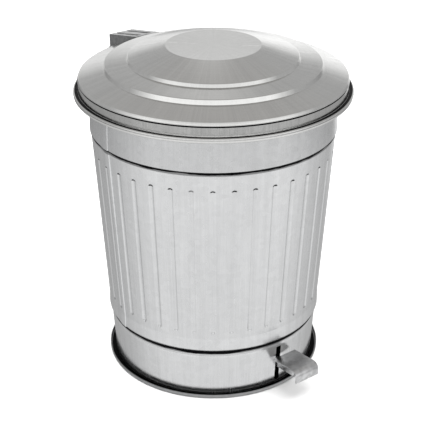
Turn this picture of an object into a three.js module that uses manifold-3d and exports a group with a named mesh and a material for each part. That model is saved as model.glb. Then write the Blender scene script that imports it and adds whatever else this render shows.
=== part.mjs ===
// A round galvanized pedal bin: tapered fluted body, hinged domed lid, foot pedal, lift rod and inner bucket.
// Millimetres, +Z up. The pedal points to -Y and the hinge is at +Y. The origin is on the floor,
// in the middle of the box that holds the whole bin.

import * as THREE from 'three';
import { mergeVertices } from 'three/addons/utils/BufferGeometryUtils.js';
import Module from 'manifold-3d';

// ---------------------------------------------------------------- driving dimensions

const sheet = 1.0;               // sheet of the body, lid, base and bucket
const plateSheet = 1.5;          // sheet of the bent brackets and the strap
const seatGap = 0.3;             // space between two pieces that touch
const runningGap = 0.1;          // radial clearance of a turning pin, at the flats of its hole

const fluteCount = 38;
const fluteWidth = 7;            // across the mouth of a flute
const fluteFloorWidth = 3.4;
const fluteDepth = 1.3;
const fluteFootGap = 10;         // from the lower bead to the flutes
const fluteTopGap = 23;          // from the flutes to the upper bead
const fluteRunout = 5;           // length of a flute's sloping end

const bandRadius = 160;          // upright band at the top of the body
const bandLow = 341;             // lower end of that band
const wallTaper = 0.06144;       // growth of the wall's radius for each millimetre of height
const bodyLow = 72.5;            // lower edge of the body, over the base
const bandHeight = 59.2;         // from there to the middle of the body's rolled rim
const rollRadius = 2.9;          // middle line of a rolled edge
const beadDepth = 1.4;           // bulge of the two beads round the body
const beadHeight = 9.5;          // of the upper bead, whose lower edge is sharp
const footBeadHigh = 89;         // upper end of the bead at the body's lower edge
const wireSides = 5;
const wireRadius = 1.8;          // wire inside the rolled edges
const seamWidth = 9;             // lap of the body's side seam

const collarHigh = 86;           // upper edge of the base, inside the body
const footFlare = 15;            // height at which the base begins to turn out
const footReach = 7.83;          // from the base's wall to the outside of the turned-up foot
const footBend = 3.5;            // bend from the wall to the foot's flat ring
const footLipBend = 2;
const footLipHeight = 5.5;
const slotWidth = 7.5;
const slotHigh = 60;             // upper end of the pedal's slot
const slotLow = 6;
const rearSlotHigh = 46;

const floorHeight = 84;          // top of the floor
const floorFlange = 12;          // depth of the floor's turned-down edge
const floorRingWidth = 46.9;     // from the wall to the stiffening step pressed in the floor
const floorRibRun = 3;
const floorRibDepth = 2;
const floorBend = 2;

const lidRise = 39.1;            // from the body's rim to the top of the lid
const lidOverhang = 20;          // from the body's band to the outside of the lid's rolled edge
const lidEdgeInset = 6.7;        // from there back to the lid's upper edge
const lidOuterCone = 33.9;       // width of each cone between the edge, the two steps and the disc
const lidMiddleCone = 29.8;
const lidInnerCone = 48.6;
const lidStep1Rise = 26.4;       // heights of the steps and the edge above the body's rim
const lidStep1Depth = 4.8;
const lidStep2Rise = 17.8;
const lidStep2Depth = 6.3;
const lidStepRun = 1.5;          // radial run of each step
const lidEdgeRise = 2.0;
const lidEdgeRound = 1.8;
const lidEdgeLift = 0.4;         // the outer cone ends that much above the edge
const lidRollDrop = 18.7;        // the rolled edge hangs that far below the body's rim

const hingeReach = 46;           // from the body's band to the hinge pin
const hingeDrop = 20.2;          // from the body's rim down to the hinge pin
const hingePinRadius = 2.5;
const lidSwing = 75;             // degrees from closed to fully open

const strapOverlap = 25.8;       // length of the strap's foot on the lid
const strapEnd = 8.5;            // strap beyond the hinge pin
const strapInnerRise = 14.8;     // heights of the strap's two ends above the body's rim
const strapOuterRise = 1.8;
const strapWidth = 38;
const strapFootWidth = 9;
const strapRibHeight = 0.8;
const strapRibWidth = 5;
const strapEyeRadius = 8;
const strapLidGap = 1.2;         // between the strap's flanges and the lid's rolled edge
const strapRibInset = 6;
const strapRivetInsets = [7.5, 20.5];
const capLength = 5;             // push-on cap at the rod's lower end
const capWall = 2.3;
const rodLegGap = 1.5;           // from the leg's end to the outside of the cap

const liftArm = 24;              // from the hinge pin to the lift pin
const liftPinRadius = 2.5;
const rodRadius = 2.5;
const rodX = 7.5;                // the rod stands beside the lever
const rodEyeWall = 4;
const rodEyeSheet = 2.5;
const rodBend = 5;
const rodLowZ = 10.9;            // rod's lower leg, in the lever

const bracketRise = 3.5;         // from the band's lower end to the bracket
const bracketBaseHeight = 23.5;
const bracketRivetRises = [6, 17.5];
const bracketRivetX = 10;
const bracketLidReach = 12;      // the ears pass the lid's rolled edge at this distance
const bracketLidDrop = 7.5;
const bracketEyeRadius = 7;
const bracketGap = 3;            // between the strap's flanges and the bracket's ears

const guideRise = 31;            // from the flutes' ends to the two guides
const guideDrop = 20.5;
const guideWidth = 30;
const guideHeight = 16;
const guideReach = 8;            // sheet beyond the rod
const guideHoleGap = 0.6;
const guideRivetX = 9.5;

const pivotY = -20;              // pedal axle
const pivotZ = 25.6;
const axleRadius = 3;
const spacerWall = 2.4;          // of the rings on the axle and on the hinge pin
const pivotEarRadius = 9;
const pivotEarSpan = 18;         // between the inner faces of the ears
const pivotBaseLength = 36;
const leverSheet = 2.5;
const leverFrontHeight = 15;
const leverFrontZ = 37.5;        // middle of the lever's front end
const leverRearHeight = 10;
const leverFrontReach = 28.5;    // lever under the tread
const leverEndRadius = 7.5;

const treadSheet = 2;
const treadInset = 3;            // from the foot's outside back to the tread
const treadLength = 47;
const treadLeft = -11;
const treadRight = 27;
const treadLip = 16;             // height of the bent-down lip
const treadBend = 7;
const treadFlange = 14;          // height of the flange that lies against the lever

const rivetShank = 1.8;
const rivetHead = 3.8;
const rivetHeadHeight = 1.5;
const rivetTail = 3.0;
const rivetPlay = 0.5;           // slack under a rivet's tail, on a curved wall

const bucketDrop = 54.2;         // from the body's rim down to the bucket's
const bucketGap = 16;            // between the bucket and the body's flutes
const bucketFootWidth = 16;      // ring that the bucket stands on
const bucketFootRise = 5;        // the bottom inside the ring is pressed up over the rivets
const bucketFootRun = 6;
const bucketCorner = 4;
const bucketRoll = 2.2;
const bailWire = 2.0;
const bailEarRise = 6;           // bail's pivot above the bucket's rim
const bailEarWidth = 22;
const bailEarDrop = 26;
const bailPlay = 0.5;            // of the bail in its ears
const bailEndReach = 2.5;        // bail beyond its ears
const bailGripRadius = 5.5;
const bailGripLength = 84;

// ---------------------------------------------------------------- values that follow from them

const rimHeight = bandLow + bandHeight;                               // middle of the body's rolled rim
const beadLow = bandLow - beadHeight;
const fluteLow = footBeadHigh + fluteFootGap;
const fluteHigh = beadLow - fluteTopGap;
const wall = (z) => bandRadius - wallTaper * (bandLow - z);           // outer radius of the tapered wall
const collarWall = (z) => wall(z) - sheet - seatGap;                  // outer radius of the base
const footRadius = collarWall(footFlare) + footReach;                 // outer radius of the turned-up foot
const floorRibRadius = collarWall(floorHeight) - floorRingWidth;
const lidTop = rimHeight + lidRise;
const lidStep1High = rimHeight + lidStep1Rise;
const lidStep1Low = lidStep1High - lidStep1Depth;
const lidStep2High = rimHeight + lidStep2Rise;
const lidStep2Low = lidStep2High - lidStep2Depth;
const lidEdgeHigh = rimHeight + lidEdgeRise;
const lidRollHeight = rimHeight - lidRollDrop;
const lidRollOuter = bandRadius + lidOverhang;
const lidEdgeRadius = lidRollOuter - lidEdgeInset;
const lidStep2Radius = lidEdgeRadius - lidOuterCone;
const lidStep1Radius = lidStep2Radius - lidMiddleCone;
const lidDiscRadius = lidStep1Radius - lidInnerCone;
const hingeY = bandRadius + hingeReach;
const hingeZ = rimHeight - hingeDrop;
const strapInner = lidEdgeRadius - strapOverlap;
const strapOuter = hingeY + strapEnd;
const strapInnerHigh = rimHeight + strapInnerRise;
const strapOuterHigh = rimHeight + strapOuterRise;
const bracketBaseLow = bandLow + bracketRise;
const bracketBaseHigh = bracketBaseLow + bracketBaseHeight;
const guideHeights = [fluteLow + guideRise, fluteHigh - guideDrop];
const treadInner = footRadius - treadInset;
const treadOuter = treadInner + treadLength;
const leverFrontEnd = treadInner + leverFrontReach;
const bucketLow = floorHeight - floorRibDepth + seatGap;
const bucketHigh = rimHeight - bucketDrop;
const lidRollCentre = lidRollOuter - rollRadius - sheet / 2;
const degrees = THREE.MathUtils.degToRad;
const halfSwing = degrees(lidSwing) / 2;
const rodTilt = Math.atan(wallTaper);                                 // the rod runs along the wall
const rodOffset = liftArm * (1 + Math.cos(halfSwing)) / 2;            // rod's middle line from the hinge pin
const rodTravel = 2 * liftArm * Math.sin(halfSwing);
const liftPinY = hingeY - liftArm * Math.cos(halfSwing - rodTilt);
const liftPinZ = hingeZ - liftArm * Math.sin(halfSwing - rodTilt);
const rodPassY = hingeY - rodOffset * Math.cos(rodTilt);
const rodPassZ = hingeZ + rodOffset * Math.sin(rodTilt);
const rodY = (z) => rodPassY + (z - rodPassZ) * wallTaper;            // rod's middle line at a height
const rodLowY = rodY(rodLowZ);
const strapHigh = (y) => strapInnerHigh
  + (strapOuterHigh - strapInnerHigh) * (y - strapInner) / (strapOuter - strapInner);
const pivotSpan = pivotEarSpan + 2 * plateSheet;
const boxCentreY = (strapOuter - treadOuter) / 2;

const bodyColumns = fluteCount * 2;          // flat facets round the piece
const bodyHiddenColumns = fluteCount * 1.5;
const lidColumns = 54;
const baseColumns = 48;
const innerColumns = 36;
const rollSteps = 5;

// ---------------------------------------------------------------- solids and cuts

const wasm = await Module();
wasm.setup();

function solidOf(geometry) {
  const bare = geometry.clone();
  bare.deleteAttribute('normal');
  bare.deleteAttribute('uv');
  const merged = mergeVertices(bare.index ? bare.toNonIndexed() : bare, 1e-4);
  const mesh = new wasm.Mesh({
    numProp: 3,
    vertProperties: new Float32Array(merged.attributes.position.array),
    triVerts: new Uint32Array(merged.index.array),
  });
  return new wasm.Manifold(mesh);
}

function geometryOf(solid) {
  const mesh = solid.getMesh();
  const geometry = new THREE.BufferGeometry();
  geometry.setAttribute('position', new THREE.BufferAttribute(new Float32Array(mesh.vertProperties), 3));
  geometry.setIndex(new THREE.BufferAttribute(new Uint32Array(mesh.triVerts), 1));
  return geometry;
}

function joined(...geometries) {
  return geometryOf(geometries.map(solidOf).reduce((whole, piece) => whole.add(piece)));
}

function cut(geometry, ...cutters) {
  return geometryOf(cutters.map(solidOf).reduce((whole, piece) => whole.subtract(piece), solidOf(geometry)));
}

// ---------------------------------------------------------------- outlines

const point = (x, y) => new THREE.Vector2(x, y);

function arc(x, y, radius, from, to, steps) {
  const points = [];
  for (let step = 0; step <= steps; step += 1) {
    const angle = degrees(from + (to - from) * step / steps);
    points.push(point(x + radius * Math.cos(angle), y + radius * Math.sin(angle)));
  }
  return points;
}

// The line moved sideways, to its right for a positive distance.
function offsetLine(line, distance) {
  return line.map((here, index) => {
    const before = line[Math.max(index - 1, 0)];
    const after = line[Math.min(index + 1, line.length - 1)];
    const into = index === 0 ? after.clone().sub(here) : here.clone().sub(before);
    const out = index === line.length - 1 ? into.clone() : after.clone().sub(here);
    const normalIn = point(into.y, -into.x).normalize();
    const normalOut = point(out.y, -out.x).normalize();
    const normal = normalIn.clone().add(normalOut).normalize();
    return here.clone().addScaledVector(normal, distance / normal.dot(normalIn));
  });
}

// A closed outline of sheet around a middle line.
function sheetOutline(line, thickness) {
  return [...offsetLine(line, thickness / 2), ...offsetLine(line, -thickness / 2).reverse()];
}

// ---------------------------------------------------------------- turned pieces, with +Z as their axis

const turn = new THREE.Matrix4().makeRotationX(Math.PI / 2);

function latheOf(outline, segments, closed = true) {
  const points = closed ? [...outline, outline[0].clone()] : outline;
  const area = THREE.ShapeUtils.area(outline);
  const geometry = new THREE.LatheGeometry(area > 0 ? points : points.slice().reverse(), segments);
  geometry.applyMatrix4(turn);
  return geometry;
}

// Sheet whose middle line starts on the axis: both faces run to the axis.
function dishOf(line, thickness, segments) {
  const outline = sheetOutline(line, thickness);
  outline[0].x = 0;
  outline[outline.length - 1].x = 0;
  return latheOf(outline, segments, false);
}

function ringWire(radius, height, segments) {
  return latheOf(arc(radius, height, wireRadius, 0, 360, wireSides).slice(1), segments);
}

// A closed mesh from a stack of rings, each a list of points that runs round the axis. Rings may
// have different counts; each is joined to the next, and the last to the first.
function ringStack(rings) {
  const positions = [];
  const place = (vector) => positions.push(vector.x, vector.y, vector.z);
  rings.forEach((ring, index) => {
    const next = rings[(index + 1) % rings.length];
    let here = 0;
    let there = 0;
    while (here < ring.length || there < next.length) {
      const hereNext = ring[(here + 1) % ring.length];
      const thereNext = next[(there + 1) % next.length];
      const hereTurn = here < ring.length ? (here + 1 < ring.length ? hereNext.turn : 2 * Math.PI) : Infinity;
      const thereTurn = there < next.length
        ? (there + 1 < next.length ? thereNext.turn : 2 * Math.PI) : Infinity;
      const low = ring[here % ring.length];
      const high = next[there % next.length];
      place(low);
      if (hereTurn <= thereTurn) {
        place(hereNext);
        place(high);
        here += 1;
      } else {
        place(thereNext);
        place(high);
        there += 1;
      }
    }
  });
  const geometry = new THREE.BufferGeometry();
  geometry.setAttribute('position', new THREE.Float32BufferAttribute(positions, 3));
  return geometry;
}

function ringPoint(radius, angle, z) {
  const place = new THREE.Vector3(radius * Math.sin(angle), -radius * Math.cos(angle), z);
  place.turn = angle;
  return place;
}

function plainRing(radius, z, count) {
  return Array.from({ length: count }, (_, k) => ringPoint(radius, 2 * Math.PI * k / count, z));
}

function flutedRing(radius, z) {
  const ring = [];
  for (let flute = 0; flute < fluteCount; flute += 1) {
    const middle = 2 * Math.PI * flute / fluteCount;
    const mouth = fluteWidth / 2 / radius;
    const base = fluteFloorWidth / 2 / radius;
    ring.push(ringPoint(radius, middle - mouth, z));
    ring.push(ringPoint(radius - fluteDepth, middle - base, z));
    ring.push(ringPoint(radius - fluteDepth, middle + base, z));
    ring.push(ringPoint(radius, middle + mouth, z));
  }
  return ring;
}

// Part of a turned piece between two angles, with flat ends. Angle 0 points to -Y.
function sectorOf(outline, from, to, steps) {
  const points = THREE.ShapeUtils.area(outline) > 0 ? outline : outline.slice().reverse();
  const positions = [];
  const at = (place, step) => ringPoint(place.x, degrees(from + (to - from) * step / steps), place.y);
  const triangle = (...corners) => corners.forEach((corner) => positions.push(corner.x, corner.y, corner.z));
  for (let step = 0; step < steps; step += 1) {
    points.forEach((here, index) => {
      const next = points[(index + 1) % points.length];
      triangle(at(here, step), at(here, step + 1), at(next, step));
      triangle(at(next, step), at(here, step + 1), at(next, step + 1));
    });
  }
  THREE.ShapeUtils.triangulateShape(points, []).forEach(([a, b, c]) => {
    triangle(at(points[a], 0), at(points[b], 0), at(points[c], 0));
    triangle(at(points[c], steps), at(points[b], steps), at(points[a], steps));
  });
  const geometry = new THREE.BufferGeometry();
  geometry.setAttribute('position', new THREE.Float32BufferAttribute(positions, 3));
  return geometry;
}

// ---------------------------------------------------------------- flat and round stock

// Plate that stands in the Y-Z plane: the shape's x is Y and its y is Z.
const standing = new THREE.Matrix4().makeBasis(
  new THREE.Vector3(0, 1, 0), new THREE.Vector3(0, 0, 1), new THREE.Vector3(1, 0, 0));

function sidePlate(shape, middleX, thickness, curveSegments = 8) {
  const geometry = new THREE.ExtrudeGeometry(shape, { depth: thickness, bevelEnabled: false, curveSegments });
  geometry.applyMatrix4(standing);
  geometry.translate(middleX - thickness / 2, 0, 0);
  return geometry;
}

// Round bar along X.
function crossBar(radius, fromX, toX, y, z, sides = 16) {
  const geometry = new THREE.CylinderGeometry(radius, radius, toX - fromX, sides);
  geometry.rotateZ(Math.PI / 2);
  geometry.translate((fromX + toX) / 2, y, z);
  return geometry;
}

// The way of a bent wire through a list of places, with one ring of corners at each.
class WireWay extends THREE.Curve {
  constructor(places) {
    super();
    this.places = places;
  }

  getUtoTmapping(u) {
    return u;
  }

  getPoint(t, target = new THREE.Vector3()) {
    const along = t * (this.places.length - 1);
    const index = Math.min(Math.floor(along), this.places.length - 2);
    return target.lerpVectors(this.places[index], this.places[index + 1], along - index);
  }

  getTangent(t, target = new THREE.Vector3()) {
    const last = this.places.length - 1;
    const index = Math.round(t * last);
    const here = this.places[index];
    const into = here.clone().sub(this.places[Math.max(index - 1, 0)]).normalize();
    const out = this.places[Math.min(index + 1, last)].clone().sub(here).normalize();
    return target.copy(into).add(out).normalize();
  }
}

function wireOf(places, radius, sides) {
  const section = new THREE.Shape(arc(0, 0, radius, 0, 360, sides).slice(1));
  return new THREE.ExtrudeGeometry(section,
    { extrudePath: new WireWay(places), steps: places.length - 1, bevelEnabled: false });
}

function box(width, depth, height, x, y, z) {
  const geometry = new THREE.BoxGeometry(width, depth, height);
  geometry.translate(x, y, z);
  return geometry;
}

// Radius of a hole whose flats clear a round pin.
const holeFor = (pin, gap = runningGap, sides = 16) => (pin + gap) / Math.cos(Math.PI / sides);

// ---------------------------------------------------------------- materials and nodes

const zinc = { color: 0xb9bcbd, roughness: 0.38, metalness: 0.85 };
const zincPale = { color: 0xc6c9cb, roughness: 0.34, metalness: 0.85 };
const zincDull = { color: 0x9a9d9f, roughness: 0.5, metalness: 0.8 };
const steelPin = { color: 0x8e9194, roughness: 0.32, metalness: 0.95 };

function node(parent, name, geometry, finish) {
  const mesh = new THREE.Mesh(geometry, new THREE.MeshStandardMaterial(finish));
  mesh.name = name;
  parent.add(mesh);
  return mesh;
}

const bin = new THREE.Group();
bin.position.y = -boxCentreY;

// ---------------------------------------------------------------- rivets

// A rivet along +Z: its round head lies on z = 0 and its tail closes on the far side of the grip.
function rivetGeometry(grip) {
  return latheOf([
    point(0, -grip - 2 * seatGap - rivetHeadHeight),
    point(rivetTail, -grip - seatGap),
    point(rivetShank, -grip - seatGap),
    point(rivetShank, seatGap),
    point(rivetHead, seatGap),
    point(0, seatGap + rivetHeadHeight),
  ], 6, false);
}

function drillGeometry(grip) {
  const geometry = new THREE.CylinderGeometry(rivetShank + seatGap, rivetShank + seatGap, 4 * grip, 6);
  geometry.rotateX(Math.PI / 2);
  return geometry;
}

// Turns a piece that points along +Z so that it points out of a wall. Angle 0 points to -Y.
function outward(geometry, angle, radius, z, lean) {
  geometry.rotateX(Math.PI / 2 + lean);
  geometry.translate(0, -radius, 0);
  geometry.rotateZ(degrees(angle));
  geometry.translate(0, 0, z);
  return geometry;
}

// ---------------------------------------------------------------- hinge bracket and guides: outlines

const bracketEarX = strapWidth / 2 + bracketGap + plateSheet / 2;
const bracketSpan = 2 * bracketEarX;
const bracketSeat = bandRadius + seatGap;
const bracketRivets = bracketRivetRises.flatMap((rise) => [-1, 1].map((side) => (
  { z: bracketBaseLow + rise, side })));
const angleAt = (x, radius) => 180 - THREE.MathUtils.radToDeg(Math.asin(x / radius));

function bracketDrill(place, reach) {
  const turnAngle = angleAt(place.side * bracketRivetX, bandRadius);
  return outward(drillGeometry(reach), turnAngle, bandRadius, place.z, 0);
}

function guideDrill(height, side) {
  const radius = wall(height);
  return outward(drillGeometry(plateSheet + sheet), angleAt(side * guideRivetX, radius), radius, height, rodTilt);
}

// ---------------------------------------------------------------- body shell

function bodyShell() {
  const roll = arc(bandRadius - sheet / 2 + rollRadius, rimHeight, rollRadius, 180, -130, rollSteps);
  const rollFace = (side) => offsetLine([point(bandRadius - sheet / 2, bandLow), ...roll], side * sheet / 2)
    .slice(1).map((place) => plainRing(place.x, place.y, bodyHiddenColumns));
  const outer = [
    plainRing(wall(bodyLow), bodyLow, bodyColumns),
    plainRing(wall(bodyLow) + beadDepth, bodyLow + 3, bodyColumns),
    plainRing(wall(footBeadHigh) + beadDepth, footBeadHigh - 5, bodyColumns),
    plainRing(wall(footBeadHigh), footBeadHigh, bodyColumns),
    plainRing(wall(fluteLow), fluteLow, bodyColumns),
    flutedRing(wall(fluteLow + fluteRunout), fluteLow + fluteRunout),
    flutedRing(wall(fluteHigh - fluteRunout), fluteHigh - fluteRunout),
    plainRing(wall(fluteHigh), fluteHigh, bodyColumns),
    plainRing(wall(beadLow), beadLow, bodyColumns),
    plainRing(wall(beadLow) + beadDepth, beadLow + 1.2, bodyColumns),
    plainRing(bandRadius + beadDepth, bandLow - 3, bodyColumns),
    plainRing(bandRadius, bandLow, bodyColumns),
  ];
  const inner = [
    plainRing(bandRadius - sheet, bandLow, bodyHiddenColumns),
    plainRing(wall(fluteHigh) - sheet, fluteHigh, bodyHiddenColumns),
    flutedRing(wall(fluteHigh - fluteRunout) - sheet, fluteHigh - fluteRunout),
    flutedRing(wall(fluteLow + fluteRunout) - sheet, fluteLow + fluteRunout),
    plainRing(wall(fluteLow) - sheet, fluteLow, bodyHiddenColumns),
    plainRing(wall(bodyLow) - sheet, bodyLow, bodyHiddenColumns),
  ];
  const shell = ringStack([...outer, ...rollFace(1), ...rollFace(-1).reverse(), ...inner]);
  const lapOverlap = 0.4;
  const lap = [
    point(wall(footBeadHigh) - lapOverlap, footBeadHigh),
    point(wall(footBeadHigh) + sheet, footBeadHigh),
    point(wall(beadLow) + sheet, beadLow),
    point(wall(beadLow) - lapOverlap, beadLow),
  ];
  const seamAngle = THREE.MathUtils.radToDeg(seamWidth / bandRadius);
  const seam = sectorOf(lap, 270 - seamAngle / 2, 270 + seamAngle / 2, 1);
  const drills = bracketRivets.map((place) => bracketDrill(place, plateSheet + sheet));
  guideHeights.forEach((height) => drills.push(guideDrill(height, -1), guideDrill(height, 1)));
  return cut(joined(shell, seam), ...drills);
}

// ---------------------------------------------------------------- base, floor and wires

function baseCollar() {
  const foot = collarWall(footFlare) - sheet / 2;
  const line = [
    point(collarWall(collarHigh) - sheet / 2, collarHigh),
    point(foot, footFlare),
    ...arc(foot + footBend, sheet / 2 + footBend, footBend, 180, 270, 2),
    ...arc(footRadius - sheet / 2 - footLipBend, sheet / 2 + footLipBend, footLipBend, 270, 360, 2),
    point(footRadius - sheet / 2, footLipHeight),
  ];
  const ring = latheOf(sheetOutline(line, sheet), baseColumns);
  const slot = box(slotWidth, 40, slotHigh - slotLow, 0, -collarWall(slotLow), (slotHigh + slotLow) / 2);
  const rearSlot = box(slotWidth, 40, rearSlotHigh - slotLow, 0, collarWall(slotLow),
    (rearSlotHigh + slotLow) / 2);
  return cut(ring, slot, rearSlot);
}

const pivotRivets = [-1, 1].map((side) => pivotY + side * (pivotBaseLength / 2 - 7));
const floorUnder = floorHeight - sheet;

function bodyFloor() {
  const middle = floorHeight - sheet / 2;
  const flange = (z) => point(collarWall(z) - sheet - seatGap - sheet / 2, z);
  const bend = flange(middle - floorRibDepth - floorBend);
  const line = [
    point(0, middle),
    point(floorRibRadius, middle),
    point(floorRibRadius + floorRibRun, middle - floorRibDepth),
    point(bend.x - floorBend, middle - floorRibDepth),
    bend,
    flange(floorHeight - floorFlange),
  ];
  const drills = pivotRivets.map((y) => drillGeometry(plateSheet + sheet).translate(0, y, floorUnder));
  return cut(dishOf(line, sheet, baseColumns), ...drills);
}

// ---------------------------------------------------------------- lid

const lidLine = [
  point(0, lidTop - sheet / 2),
  point(lidDiscRadius, lidTop - sheet / 2),
  point(lidStep1Radius - lidStepRun / 2, lidStep1High - sheet / 2),
  point(lidStep1Radius + lidStepRun / 2, lidStep1Low - sheet / 2),
  point(lidStep2Radius - lidStepRun / 2, lidStep2High - sheet / 2),
  point(lidStep2Radius + lidStepRun / 2, lidStep2Low - sheet / 2),
  point(lidEdgeRadius - sheet / 2 - lidEdgeRound, lidEdgeHigh - sheet / 2 + lidEdgeLift),
  point(lidEdgeRadius - sheet / 2, lidEdgeHigh - sheet / 2 - lidEdgeRound),
  ...arc(lidRollCentre, lidRollHeight, rollRadius, 180, 490, rollSteps),
];

const strapRivets = strapRivetInsets.flatMap((inset) => [-1, 1].map((side) => ({ y: strapInner + inset, side })));
const strapRivetX = strapWidth / 2 - plateSheet - strapFootWidth / 2;
const lidSlope = Math.atan2(lidStep2Low - lidEdgeHigh - lidEdgeLift, lidOuterCone - lidEdgeRound);
const lidOuter = offsetLine(lidLine.slice(0, 9), -sheet / 2);

// Height of the lid's outer face at a distance from the axis, on its outermost cone.
function lidFace(radius) {
  const [high, low] = [lidOuter[5], lidOuter[6]];
  return high.y + (low.y - high.y) * (radius - high.x) / (low.x - high.x);
}

// Puts a piece that points along +Z on the lid's rear slope, square to it.
function onLid(geometry, x, y) {
  const radius = Math.hypot(x, y);
  geometry.rotateX(-lidSlope);
  geometry.translate(0, radius, 0);
  geometry.rotateZ(-Math.asin(x / radius));
  geometry.translate(0, 0, lidFace(radius));
  return geometry;
}

function strapDrill(place) {
  return onLid(drillGeometry(plateSheet + sheet), place.side * strapRivetX, place.y);
}

function lidShell() {
  return cut(dishOf(lidLine, sheet, lidColumns), ...strapRivets.map(strapDrill));
}

// Space that the lid fills, swollen by the seating gap, under the strap.
function lidClearance() {
  const low = lidRollHeight - 30;
  return latheOf([
    point(0, low),
    ...offsetLine(lidOuter.slice(4), -seatGap).reverse().reduce((line, place, index) => {
      if (index === 0) line.push(point(place.x, low));
      line.push(place);
      return line;
    }, []),
    point(0, lidOuter[4].y + seatGap),
  ], 120, false);
}

function lidStrap() {
  const flange = new THREE.Shape();
  const eyeFar = Math.atan2(liftPinZ - hingeZ, liftPinY - hingeY);
  const inset = lidRollOuter + strapLidGap;
  flange.moveTo(strapInner, lidFace(strapInner) - 6);
  flange.lineTo(inset, lidEdgeHigh - 12);
  flange.lineTo(inset, liftPinZ + strapEyeRadius + 1);
  flange.absarc(liftPinY, liftPinZ, strapEyeRadius - 1.5, Math.PI * 0.8, eyeFar + Math.PI * 0.5 + 2 * Math.PI, false);
  flange.absarc(hingeY, hingeZ, strapEyeRadius, -Math.PI * 0.45, 0, false);
  flange.lineTo(strapOuter, strapHigh(strapOuter) - plateSheet / 2);
  flange.lineTo(strapInner, strapHigh(strapInner) - plateSheet / 2);
  const flangeX = (strapWidth - plateSheet) / 2;
  const hood = new THREE.Shape([
    point(strapInner, strapHigh(strapInner)),
    point(strapInner, strapHigh(strapInner) - plateSheet),
    point(strapOuter, strapHigh(strapOuter) - plateSheet),
    point(strapOuter, strapHigh(strapOuter)),
  ]);
  const ribFrom = strapInner + strapRibInset;
  const ribTo = strapOuter - strapRibInset;
  const ribRun = 3;
  const rib = new THREE.Shape([
    point(ribFrom, strapHigh(ribFrom) - plateSheet / 2),
    point(ribTo, strapHigh(ribTo) - plateSheet / 2),
    point(ribTo - ribRun, strapHigh(ribTo - ribRun) + strapRibHeight),
    point(ribFrom + ribRun, strapHigh(ribFrom + ribRun) + strapRibHeight),
  ]);
  const foot = new THREE.Shape([
    point(strapInner, lidFace(strapInner) - 6),
    point(lidEdgeRadius - 2, lidFace(lidEdgeRadius) - 6),
    point(lidEdgeRadius - 2, lidFace(lidEdgeRadius - 2) + seatGap + plateSheet),
    point(strapInner, lidFace(strapInner) + seatGap + plateSheet),
  ]);
  const pieces = [sidePlate(hood, 0, strapWidth)];
  [-1, 1].forEach((side) => {
    pieces.push(sidePlate(flange, side * flangeX, plateSheet, 6));
    pieces.push(sidePlate(foot, side * (flangeX - strapFootWidth / 2), strapFootWidth));
    pieces.push(sidePlate(rib, side * strapWidth / 4.5, strapRibWidth));
  });
  const reach = strapWidth;
  return cut(
    joined(...pieces),
    lidClearance(),
    ...strapRivets.map(strapDrill),
    crossBar(holeFor(hingePinRadius), -reach, reach, hingeY, hingeZ),
    crossBar(holeFor(liftPinRadius), -reach, reach, liftPinY, liftPinZ),
  );
}

// Pin with two formed heads, outside two plates.
function headedPin(radius, innerHalf, y, z) {
  const head = radius + 1.5;
  const headLength = 1.5;
  const reach = innerHalf + seatGap + headLength;
  return joined(
    crossBar(radius, -reach, reach, y, z),
    crossBar(head, -reach, -reach + headLength, y, z, 12),
    crossBar(head, reach - headLength, reach, y, z, 12),
  );
}

// Ring on a pin, in the space between two plates. A negative side is its mirror image.
function spacer(side, from, to, pin, y, z) {
  const low = from + seatGap;
  const high = to - seatGap;
  const ring = cut(
    crossBar(pin + spacerWall, low, high, y, z, 12),
    crossBar(holeFor(pin), low - 1, high + 1, y, z));
  return side > 0 ? ring : ring.translate(-low - high, 0, 0);
}

// ---------------------------------------------------------------- hinge bracket and rod guides

function washer(side) {
  return spacer(side, strapWidth / 2, strapWidth / 2 + bracketGap, hingePinRadius, hingeY, hingeZ);
}

function hingeBracket() {
  const base = [
    point(bracketSeat, bracketBaseLow),
    point(bracketSeat + plateSheet, bracketBaseLow),
    point(bracketSeat + plateSheet, bracketBaseHigh),
    point(bracketSeat, bracketBaseHigh),
  ];
  const half = THREE.MathUtils.radToDeg(Math.asin((bracketSpan + plateSheet) / 2 / bracketSeat));
  const ear = new THREE.Shape();
  const earRoot = Math.sqrt(bracketSeat ** 2 - (bracketSpan / 2) ** 2) + plateSheet / 2;
  ear.moveTo(earRoot, bracketBaseHigh);
  ear.lineTo(earRoot, bracketBaseLow);
  ear.absarc(hingeY, hingeZ, bracketEyeRadius, -Math.PI * 0.35, Math.PI * 0.62, false);
  ear.lineTo(lidRollOuter + bracketLidReach, lidRollHeight - bracketLidDrop);
  const pieces = [-1, 1].map((side) => sidePlate(ear, side * bracketEarX, plateSheet));
  return cut(
    joined(sectorOf(base, 180 - half, 180 + half, 6), ...pieces),
    crossBar(holeFor(hingePinRadius), -bracketSpan, bracketSpan, hingeY, hingeZ),
    ...bracketRivets.map((place) => bracketDrill(place, plateSheet + sheet)),
  );
}

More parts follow.
